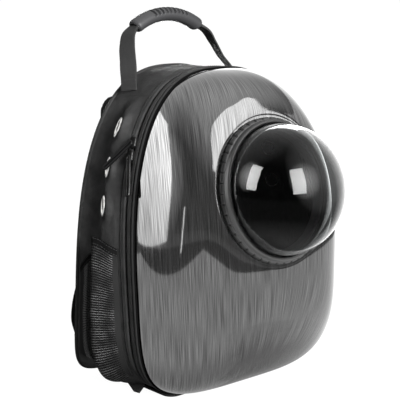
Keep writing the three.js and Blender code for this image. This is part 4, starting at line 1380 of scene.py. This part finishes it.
def pocket_surface(low, high, rows, swell, off, seed):
    """Rows between two heights of the pocket, off the wall by its bulge."""
    back = np.linspace(POCKET_TABLE[0, 0], POCKET_TABLE[-1, 0], POCKET_COLUMNS)
    foot, hem, bulge = (eased(POCKET_TABLE[:, [0, k]], back) for k in (1, 2, 3))
    rise = np.linspace(0, 1, rows)[:, None]
    start, end = share_of_height(low(foot, hem)), share_of_height(high(foot, hem))
    share_round = start + (end - start) * rise
    share_back = np.broadcast_to(back, share_round.shape)
    out = fold_out(share_round, share_back) + POCKET_SEAM_GAP + np.maximum(bulge, 0) * swell(rise) + off
    loose = np.clip(bulge / POCKET_LOOSE, 0, 1) * smoothstep(4 * rise) * smoothstep(4 * (1 - rise))
    rest = wall_point(share_round, share_back, out)
    out = out + loose * ripple(rest, POCKET_WRINKLE_PITCH, POCKET_WRINKLE_DEPTH, seed)
    return wall_point(share_round, share_back, out)


def pocket_sheet(low, high, rows, swell, wall, sign):
    """A closed sheet between two heights of the pocket, with a wall of its own."""
    inside, outside = (
        pocket_surface(low, high, rows, swell, off, POCKET_SEED + sign) for off in (0.0, wall)
    )
    return mirror(np.concatenate([outside, inside[:, ::-1]], axis=1), sign)


def mesh_points(sign):
    return pocket_sheet(
        lambda foot, hem: foot, lambda foot, hem: hem - HEM_HEIGHT - SEAM_GAP, POCKET_ROWS,
        lambda rise: eased(POCKET_SWELL, rise), POCKET_WALL, sign,
    )


def hem_points(sign):
    return pocket_sheet(
        lambda foot, hem: hem - HEM_HEIGHT, lambda foot, hem: hem, HEM_ROWS,
        lambda rise: HEM_SWELL + 0 * rise, HEM_WALL, sign,
    )


print("pocket bulges by:", POCKET_TABLE[:, 3].max(), "m")

# %% Pockets
POCKET_NET_PITCH = 0.0028
FRONT_BAND, REAR_BAND = 0.006, 0.010
mesh_grids = {side: mesh_points(sign) for side, sign in SIDES.items()}
hem_grids = {side: hem_points(sign) for side, sign in SIDES.items()}
mesh_width = spread(mesh_grids["left"][:, :POCKET_COLUMNS], 1)[-1]
pocket_net = knitted_net(
    "pocket_net", 0.003, 0.11, POCKET_NET_PITCH, 0.3, mesh_width, FRONT_BAND, REAR_BAND
)
elastic = ribbed_tape("black_elastic", 0.001, 0.003, 0.05)
for side in SIDES:
    pocket = grid_piece(f"pocket_net_{side}", mesh_grids[side], pocket_net)
    dress(pocket, "bag", "mesh", f"pocket_mesh_{side}")
    hem_piece = grid_piece(f"pocket_edge_{side}", hem_grids[side], elastic)
    dress(hem_piece, "bag", "trim", f"pocket_hem_{side}")
print("pocket net width:", round(float(mesh_width), 3), "m")

# %% [markdown]
# ## Handle
# The carry handle is one length of webbing from shoulder to shoulder, rolled up where it runs through
# its grip. A bevelled curve has the same section all along, and this webbing turns and narrows. So the
# path's table gives each place with the webbing's half width, half thickness and turn, and a section is
# swept along it. Webbing has small loops along its edges, so its width ripples.

# %% Sweeps
SECTION_POINTS = 20
FLAT_STRAP = 8
FULL_STRAP = 4


def sweep_section(power):
    """A closed section from 1 to -1 both ways: a flat strap's has a high power, a round one's is 2."""
    angle = np.linspace(0, 2 * np.pi, SECTION_POINTS, endpoint=False) + np.pi / SECTION_POINTS
    c, s = np.cos(angle), np.sin(angle)
    return np.stack([np.sign(c) * np.abs(c) ** (2 / power), np.sign(s) * np.abs(s) ** (2 / power)], axis=-1)


def smooth_rows(table, step):
    """A table of rows, the first three columns a place, as evenly spaced rows on a smooth curve."""
    rows = np.array(table, dtype=float)
    run = np.concatenate([[0.0], np.cumsum(np.linalg.norm(np.diff(rows[:, :3], axis=0), axis=1))])
    place = np.linspace(0, run[-1], int(run[-1] / step) + 2)
    return np.stack([eased(np.c_[run, rows[:, k]], place) for k in range(rows.shape[1])], axis=-1), place


def sweep(rows, width_direction, section, width_scale=1.0):
    """Sections along a path; columns 3 and 4 are half width and half thickness."""
    centre = rows[:, :3]
    along = np.gradient(centre, axis=0)
    along /= np.linalg.norm(along, axis=1, keepdims=True)
    across = width_direction - along * np.sum(width_direction * along, axis=1, keepdims=True)
    across /= np.linalg.norm(across, axis=1, keepdims=True)
    outward = np.cross(along, across)
    wide = (rows[:, 3] * width_scale)[:, None, None] * section[None, :, :1] * across[:, None, :]
    thick = rows[:, 4][:, None, None] * section[None, :, 1:] * outward[:, None, :]
    return centre[:, None, :] + wide + thick


print("section points:", SECTION_POINTS)

# %% Handle webbing
# x, y, z, half width, half thickness, turn in degrees: the right-hand half, which the left mirrors
HANDLE_TABLE = np.array([
    (0.0885, 0.025, 0.3792, 0.0115, 0.0011, 21), (0.0865, 0.028, 0.397, 0.0115, 0.0011, 21),
    (0.079, 0.039, 0.415, 0.0115, 0.0011, 20), (0.073, 0.048, 0.433, 0.0115, 0.0012, 16),
    (0.0655, 0.054, 0.448, 0.0108, 0.0015, 8), (0.055, 0.0575, 0.4553, 0.0088, 0.002, 0),
    (0.040, 0.058, 0.4629, 0.007, 0.002, 0), (0.021, 0.058, 0.4693, 0.006, 0.002, 0),
    (0.0, 0.058, 0.4716, 0.006, 0.002, 0),
])
WEBBING_STEP = 0.0008
EDGE_LOOP_PITCH = 0.0026
EDGE_LOOP_DEPTH = 0.03

other_half = HANDLE_TABLE[:-1][::-1] * np.array([-1, 1, 1, 1, 1, -1])
handle_rows, handle_run = smooth_rows(np.concatenate([HANDLE_TABLE, other_half]), WEBBING_STEP)
turn = np.radians(handle_rows[:, 5])
handle_across = np.stack([np.sin(turn), np.cos(turn), 0 * turn], axis=-1)
edge_loops = 1 - EDGE_LOOP_DEPTH * (0.5 + 0.5 * np.sin(FULL_TURN * handle_run / EDGE_LOOP_PITCH))
handle_points = sweep(handle_rows, handle_across, sweep_section(FLAT_STRAP), edge_loops)
handle = grid_piece("handle_strap", handle_points, trim)
dress(handle, "bag", "trim", "handle_webbing")
print("handle webbing length:", round(float(handle_run[-1]), 3), "m")

# %% [markdown]
# ## Handle grip
# A sleeve of moulded rubber covers the middle of the webbing and has grooves across its upper side.
# Boxes could be cut out of a bent tube, but their edges would be sharp. A formula gives soft ones: the
# oval sleeve follows an arc, and is drawn in where a groove is and at its ends.

# %% Handle grip
GRIP_HALF_LENGTH = 0.053
GRIP_RADIUS = 0.096
GRIP_OUTER = (0.012, 0.009)
GRIP_BORE = (0.0094, 0.005)
GRIP_ROWS = 240
GRIP_SIDES = 72
GROOVES = 9
GROOVE_PITCH = 0.0064
GROOVE_HALF_WIDTH = 0.0018
GROOVE_DEPTH = 0.0030
# grooves start at this sine of the angle round the grip, and are at full depth this much further up
GROOVE_FOOT, GROOVE_FADE = 0.1, 0.3
END_ROUND = 0.004
END_ROUND_DEPTH = 0.0024
END_MARGIN = 1.05
RUBBER_GRAIN = 900.0

grip_turn = np.linspace(-1, 1, GRIP_ROWS) * math.asin(GRIP_HALF_LENGTH / GRIP_RADIUS)
grip_side = np.linspace(0, 2 * np.pi, GRIP_SIDES, endpoint=False)
grip_up = np.stack([np.sin(grip_turn), 0 * grip_turn, np.cos(grip_turn)], axis=-1)
grip_centre = HANDLE_TABLE[-1, :3] + (grip_up - np.array([0.0, 0.0, 1.0])) * GRIP_RADIUS


def sleeve(half_width, half_thick, shrink):
    """An oval tube along the grip's arc, drawn in by shrink."""
    up = ((half_thick - shrink) * np.sin(grip_side))[..., None] * grip_up[:, None, :]
    wide = ((half_width - shrink) * np.cos(grip_side))[..., None] * np.array([0.0, 1.0, 0.0])
    return grip_centre[:, None, :] + up + wide


grip_along = grip_turn * GRIP_RADIUS
groove_place = grip_along / GROOVE_PITCH
nearest = np.clip(np.round(groove_place), -(GROOVES // 2), GROOVES // 2)
groove = smoothstep(4 * (1 - np.abs(groove_place - nearest) * GROOVE_PITCH / GROOVE_HALF_WIDTH))
facing_up = smoothstep((np.sin(grip_side) - GROOVE_FOOT) / GROOVE_FADE)
from_end = np.clip((GRIP_HALF_LENGTH * END_MARGIN - np.abs(grip_along)) / END_ROUND, 0, 1)
end_round = END_ROUND_DEPTH * (1 - np.sqrt(1 - (1 - from_end) ** 2))
grip_shrink = GROOVE_DEPTH * groove[:, None] * facing_up[None, :] + end_round[:, None]
grip_bore = sleeve(*GRIP_BORE, 0 * grip_shrink)
grip_points = np.concatenate([sleeve(*GRIP_OUTER, grip_shrink), grip_bore[::-1]])
rubber = Finish(
    "grip_rubber", Base_Color=(0.022, 0.022, 0.023, 1), Roughness=0.55, Specular_IOR_Level=0.3
)
rubber.relief(rubber.grain(rubber.in_space(), RUBBER_GRAIN, 2.0), 0.0001, 0.4)
dress(grid_piece("grip_moulded", grip_points, rubber, loop_rows=True), "bag", "rubber", "handle_grip")
print("grip grooves:", GROOVES)

# %% [markdown]
# ## Padding
# The back and the shoulder straps are foam sewn into cloth. They could be sculpted, but padding swells
# evenly between its seams, and a simulation knows how. So each starts as a plain closed form. A short
# cloth simulation with a little pressure then puffs it out between its sewn edges, and a cap keeps it
# near the frame.

# %% Padding helper
PAD_VOXEL = 0.005
PAD_FRAMES = 20
PAD_PRESSURE = 4.0
PAD_REACH = 0.003
PAD_SOFTENINGS = 3
PAD_CELLS = 330.0


def point_places(mesh):
    """The mesh's points as rows of x, y and z."""
    flat = np.zeros(len(mesh.vertices) * 3)
    mesh.vertices.foreach_get("co", flat)
    return flat.reshape(-1, 3)


def padded_form(name, points, finish, pinned):
    """A padded piece: the form is remeshed, blown up as cloth with its seams pinned, and kept."""
    form = grid_piece(name + "_form", points, finish)
    remesh = form.modifiers.new("even", "REMESH")
    remesh.mode = "VOXEL"
    remesh.voxel_size = PAD_VOXEL
    even = evaluated_mesh(form)
    bpy.data.objects.remove(form)
    even.name = name
    piece = place_piece(name, even, finish)
    start = point_places(even)
    seam = piece.vertex_groups.new(name="seam")
    seam.add(np.flatnonzero(pinned(start)).tolist(), 1.0, "REPLACE")
    cloth = piece.modifiers.new("padding", "CLOTH")
    cloth.settings.use_pressure = True
    cloth.settings.uniform_pressure_force = PAD_PRESSURE
    cloth.settings.vertex_group_mass = "seam"
    cloth.settings.effector_weights.gravity = 0.0
    for step in range(1, PAD_FRAMES + 1):
        bpy.context.scene.frame_set(step)
    shown = piece.evaluated_get(bpy.context.evaluated_depsgraph_get())
    move = point_places(shown.data) - start
    reach = np.linalg.norm(move, axis=1, keepdims=True)
    move *= np.minimum(1, PAD_REACH / np.maximum(reach, 1e-9))
    piece.modifiers.clear()
    even.vertices.foreach_set("co", (start + move).ravel())
    bpy.context.scene.frame_set(1)
    soften = bmesh.new()
    soften.from_mesh(even)
    for _ in range(PAD_SOFTENINGS):
        bmesh.ops.smooth_vert(
            soften, verts=soften.verts, factor=0.5, use_axis_x=True, use_axis_y=True, use_axis_z=True
        )
    soften.to_mesh(even)
    soften.free()
    even.shade_smooth()
    return piece


print("padding frames:", PAD_FRAMES)


# %% Padding cloth
def quilted_cloth(name, dark, light):
    """Spacer mesh: small cells in the piece's own space, as the remeshed form has no UV map."""
    cloth = Finish(name, Roughness=0.85, Specular_IOR_Level=0.25)
    sockets = {"Vector": cloth.in_space(), "Scale": PAD_CELLS}
    cells = cloth.add("ShaderNodeTexVoronoi", {"feature": "F1"}, sockets)
    cloth.drive(Base_Color=cloth.blend(cells.smooth(0.1, 0.6), dark, light))
    cloth.relief(cells, 0.0005, 0.6)
    return cloth


pad_cloth = quilted_cloth("pad_cloth", 0.004, 0.014)
print("padding cloth:", pad_cloth.material.name)

# %% [markdown]
# ## Back
# The padded back closes the bag, with piping round its edge. A flat board cut to the arch would have a
# hard rim. Here each row is the rear seam again, a little further back and further in, so that the back
# rounds over and keeps the arch's outline. Its first millimetres are sewn down, and the rest swells.

# %% Back panel and piping
# how far behind the rear seam, and how far inside it
BACK_TABLE = [
    (0.0003, 0.0034), (0.0040, 0.0034), (0.0070, 0.0040), (0.0095, 0.0080), (0.0110, 0.0120),
    (0.0122, 0.0260), (0.0130, 0.0420), (0.0130, 0.0800),
]
BACK_SEAM = 0.004
PIPING_SECTION = [
    (0.0, -0.0030, 0), (0.0064, -0.0030, 0), (0.0064, 0.0006, 0.001), (0.0032, 0.0026, 0.003),
    (0.0, 0.0006, 0.001),
]

back_rows = np.stack([rear_point(band_shares, behind, -inset) for behind, inset in BACK_TABLE])


def at_back_seam(points):
    """Points in the first millimetres behind the rear seam."""
    seam_y = REAR_FOOT_Y - (points[:, 2] - FOOT_HEIGHT) * math.tan(REAR_LEAN)
    return points[:, 1] - seam_y < BACK_SEAM


back = padded_form("back_padded", back_rows, pad_cloth, at_back_seam)
dress(back, "bag", "fabric", "back_panel")
piping_outline = rounded(PIPING_SECTION)
dress(band("piping_rear", piping_outline, trim, rear_point), "bag", "trim", "rear_piping")
print("back faces:", len(back.data.polygons))

# %% [markdown]
# ## Shoulder straps
# Two padded straps come out at the top of the back and bow down to buckles, and webbing runs on from
# there to tabs at the bottom corners. A simulation could let them hang, but they would leave the places
# that the frame has for them. So they follow tables of places and widths, and the left side mirrors the
# right one.

# %% Shoulder straps
# x, y, z, half width, half thickness, from the top of the back down; the right-hand side
STRAP_TABLE = [
    (0.048, 0.0684, 0.352, 0.026, 0.0035), (0.049, 0.084, 0.363, 0.027, 0.005),
    (0.050, 0.098, 0.355, 0.027, 0.006), (0.052, 0.104, 0.326, 0.027, 0.0065),
    (0.057, 0.108, 0.286, 0.028, 0.0065), (0.064, 0.110, 0.246, 0.028, 0.0065),
    (0.073, 0.108, 0.206, 0.026, 0.006), (0.086, 0.103, 0.174, 0.021, 0.005),
    (0.094, 0.1005, 0.158, 0.014, 0.0025),
]
WEBBING_TABLE = [
    (0.1069, 0.0965, 0.1321, 0.010, 0.001), (0.117, 0.0965, 0.112, 0.010, 0.001),
    (0.121, 0.099, 0.090, 0.010, 0.001), (0.1225, 0.0985, 0.070, 0.010, 0.001),
    (0.1225, 0.0914, 0.055, 0.010, 0.001),
]
ANCHOR_TABLE = [
    (0.1225, 0.0912, 0.0545, 0.0105, 0.0016), (0.122, 0.090, 0.040, 0.011, 0.0018),
    (0.1205, 0.0886, 0.022, 0.012, 0.0018),
]
STRAP_STEP = 0.005
TAB_STEP = 0.002
STRAP_FOOT_Z = 0.168
STRAP_HEAD_Y = 0.078


def strap_points(table, step, power, sign):
    rows, _ = smooth_rows(table, step)
    across = np.broadcast_to(ACROSS, (len(rows), 3))
    return mirror(sweep(rows, across, sweep_section(power)), sign)


def strap_ends(points):
    """Points where the strap is sewn down: under its foot, and in front of its head."""
    return (points[:, 2] < STRAP_FOOT_Z) | (points[:, 1] < STRAP_HEAD_Y)


for side, sign in SIDES.items():
    pad_points = strap_points(STRAP_TABLE, STRAP_STEP, FULL_STRAP, sign)
    strap = padded_form(f"strap_padded_{side}", pad_points, pad_cloth, strap_ends)
    dress(strap, "bag", "fabric", f"shoulder_strap_{side}")
    for name, node, table in (("web", "webbing", WEBBING_TABLE), ("corner", "anchor", ANCHOR_TABLE)):
        tab = grid_piece(f"strap_{name}_{side}", strap_points(table, TAB_STEP, FLAT_STRAP, sign), trim)
        dress(tab, "bag", "trim", f"strap_{node}_{side}")
    print("strap faces:", len(strap.data.polygons), "on the", side)

# %% [markdown]
# ## Small moulded parts
# Buckles, sliders, tabs and the base board are small and plain, and the frame has their shape. They
# could be modelled again, but at this size a copy with rounded edges is enough. The sliders are a
# little fuller, and the tabs run on into the wall that they are sewn to.

# %% Copies with rounded edges
BEVEL_ANGLE = math.radians(25)
FLAT_ANGLE = math.radians(1)
BEVEL_STEPS = 3


def node_mesh(node):
    """A copy of a frame node's mesh, without its material."""
    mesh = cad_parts[node].data.copy()
    mesh.materials.clear()
    return mesh


def move_points(body, places):
    for vertex, place in zip(body.verts, places):
        vertex.co = place


def frame_copy(name, node, finish, edge, reshape=None):
    """A copy of a frame node with its edges bevelled; reshape may move its points first."""
    mesh = node_mesh(node)
    body = bmesh.new()
    body.from_mesh(mesh)
    bmesh.ops.remove_doubles(body, verts=body.verts, dist=SAME_PLACE)
    bmesh.ops.dissolve_limit(body, angle_limit=FLAT_ANGLE, verts=body.verts, edges=body.edges)
    if reshape:
        move_points(body, reshape(np.array([v.co for v in body.verts])))
    sharp = [e for e in body.edges if len(e.link_faces) == 2 and e.calc_face_angle() > BEVEL_ANGLE]
    bmesh.ops.bevel(
        body, geom=sharp, offset=edge, offset_type="OFFSET", segments=BEVEL_STEPS, profile=0.5,
        affect="EDGES", clamp_overlap=True,
    )
    body.to_mesh(mesh)
    body.free()
    tidy_mesh(mesh)
    return place_piece(name, mesh, finish)


SLIDER_SCALE = 1.2
ROOT_REACH = 0.004


def fuller(points):
    """Swells a slider about its middle."""
    centre = points.mean(axis=0)
    return centre + (points - centre) * SLIDER_SCALE


def sewn_in(points):
    """Runs the upper half of a tab on into the wall."""
    upper = points[:, 2] > points[:, 2].mean()
    inward = points[upper].mean(axis=0) - points[~upper].mean(axis=0)
    return points + inward * (ROOT_REACH / np.linalg.norm(inward)) * upper[:, None]


# nodes, finish and its slot, width of the rounded edges, and change of shape
MOULDED = [
    (("strap_adjuster_left", "strap_adjuster_right"), plastic, "plastic", 0.0007, None),
    (("zip_slider_upper", "zip_slider_lower"), plastic, "plastic", 0.0012, fuller),
    (("zip_end_tab_left", "zip_end_tab_right"), trim, "trim", 0.0004, sewn_in),
    (("base_board",), trim, "trim", 0.0008, None),
]
for nodes, finish, slot, edge, reshape in MOULDED:
    for node in nodes:
        dress(frame_copy(f"{node}_rounded", node, finish, edge, reshape), "bag", slot, node)
print("moulded parts:", sum(len(row[0]) for row in MOULDED))

# %% [markdown]
# ## Pulls
# The zip pulls are soft loops. Bevelled edges would leave them square, so a copy of the frame's loop is
# made thicker and wider, and subdivision then rounds it all over.

# %% Pulls
PULL_WIDER = 1.25
PULL_THICKER = 0.0006
PULL_LEVELS = 2

for name in ("upper", "lower"):
    mesh = node_mesh(f"zip_pull_{name}")
    tidy_mesh(mesh)
    loop = bmesh.new()
    loop.from_mesh(mesh)
    thicker = np.array([v.co + v.normal * PULL_THICKER for v in loop.verts])
    from_middle = thicker - thicker.mean(axis=0)
    across = np.linalg.svd(from_middle)[2][1]
    move_points(loop, thicker + np.outer(from_middle @ across, across) * (PULL_WIDER - 1))
    loop.to_mesh(mesh)
    loop.free()
    pull = place_piece(f"pull_{name}", mesh, plastic)
    smooth = pull.modifiers.new("round", "SUBSURF")
    smooth.levels = smooth.render_levels = PULL_LEVELS
    rounded_pull = evaluated_mesh(pull)
    pull.modifiers.clear()
    pull.data = rounded_pull
    dress(pull, "bag", "plastic", f"zip_pull_{name}")
    print("pull faces:", len(pull.data.polygons), name)

# %% [markdown]
# ## Stitching
# Rows of black stitches hold the zip tapes, the pockets' elastic and the ends of the handle. A bump in
# the finish could hint at them, but it has no shape of its own from the side. So each row is one path,
# and the stitch tree lays small beads along it.

# %% Stitches
STITCH_PITCH = 0.0034
STITCH_LENGTH = 0.0026
STITCH_THICKNESS = 0.0006
STITCH = (STITCH_PITCH, STITCH_LENGTH, STITCH_THICKNESS, thread)
TAPE_INSET = 0.0028
# rows of the hem's grid, and rows and columns of the handle's grid, that stitches follow
HEM_STITCHED = (1, HEM_ROWS - 2)
BASE_FIRST, BASE_LAST = 3, 18
NEAR_EDGE, FAR_EDGE = 12, 17

tape_rows = [
    front_point(band_shares, behind, TAPE_CROWN)
    for behind in (BINDING_END + TAPE_INSET, REAR_TAPE_END - TAPE_INSET)
]
hem_rows = [points[row, :POCKET_COLUMNS] for points in hem_grids.values() for row in HEM_STITCHED]
base_rows = []
for strap_rows in (handle_points, handle_points[::-1]):
    base = strap_rows[BASE_FIRST:BASE_LAST]
    up, down = base[:, NEAR_EDGE], base[::-1, FAR_EDGE]
    base_rows.append(np.concatenate([up, down[:1], down, up[:1]]))
tape_stitches = repeat_along("stitches_zip", STITCHES, tape_rows, *STITCH, cyclic=True)
sewn_stitches = repeat_along("stitches_sewn", STITCHES, hem_rows + base_rows, *STITCH)
for stitches in (tape_stitches, sewn_stitches):
    dress(stitches, "bag", "trim")
    print(stitches.name, "faces:", len(stitches.data.polygons))

# %% [markdown]
# ## Linked lights
# Each light is meant for some pieces and not for others, as in a picture joined from several exposures.
# Lights could be switched on and off between renders, but linking does it in one. Each light gets the
# list of the pieces that it lights, or that it leaves dark, now that all the pieces are there.

# %% Linked lights
light_groups = {"shell": [shell], "ring": [ring], "bubble": [dome], "eyelets": eyelets}


def link_light(stand, rule):
    """A rule is `only` or `not` and the names of groups."""
    word, *names = rule.split()
    linked = bpy.data.collections.new(f"linked_{stand.name}")
    for piece in (piece for name in names for piece in light_groups[name]):
        linked.objects.link(piece)
    for member in linked.collection_objects:
        member.light_linking.link_state = "INCLUDE" if word == "only" else "EXCLUDE"
    stand.light_linking.receiver_collection = linked


for light_name, (*_, rule) in SOFTBOXES.items():
    link_light(softboxes[light_name], rule)
for sheet in sheets:
    link_light(sheet, "only shell ring")
print("linked lights:", sum(s.light_linking.receiver_collection is not None for s in softboxes.values()))

# %% [markdown]
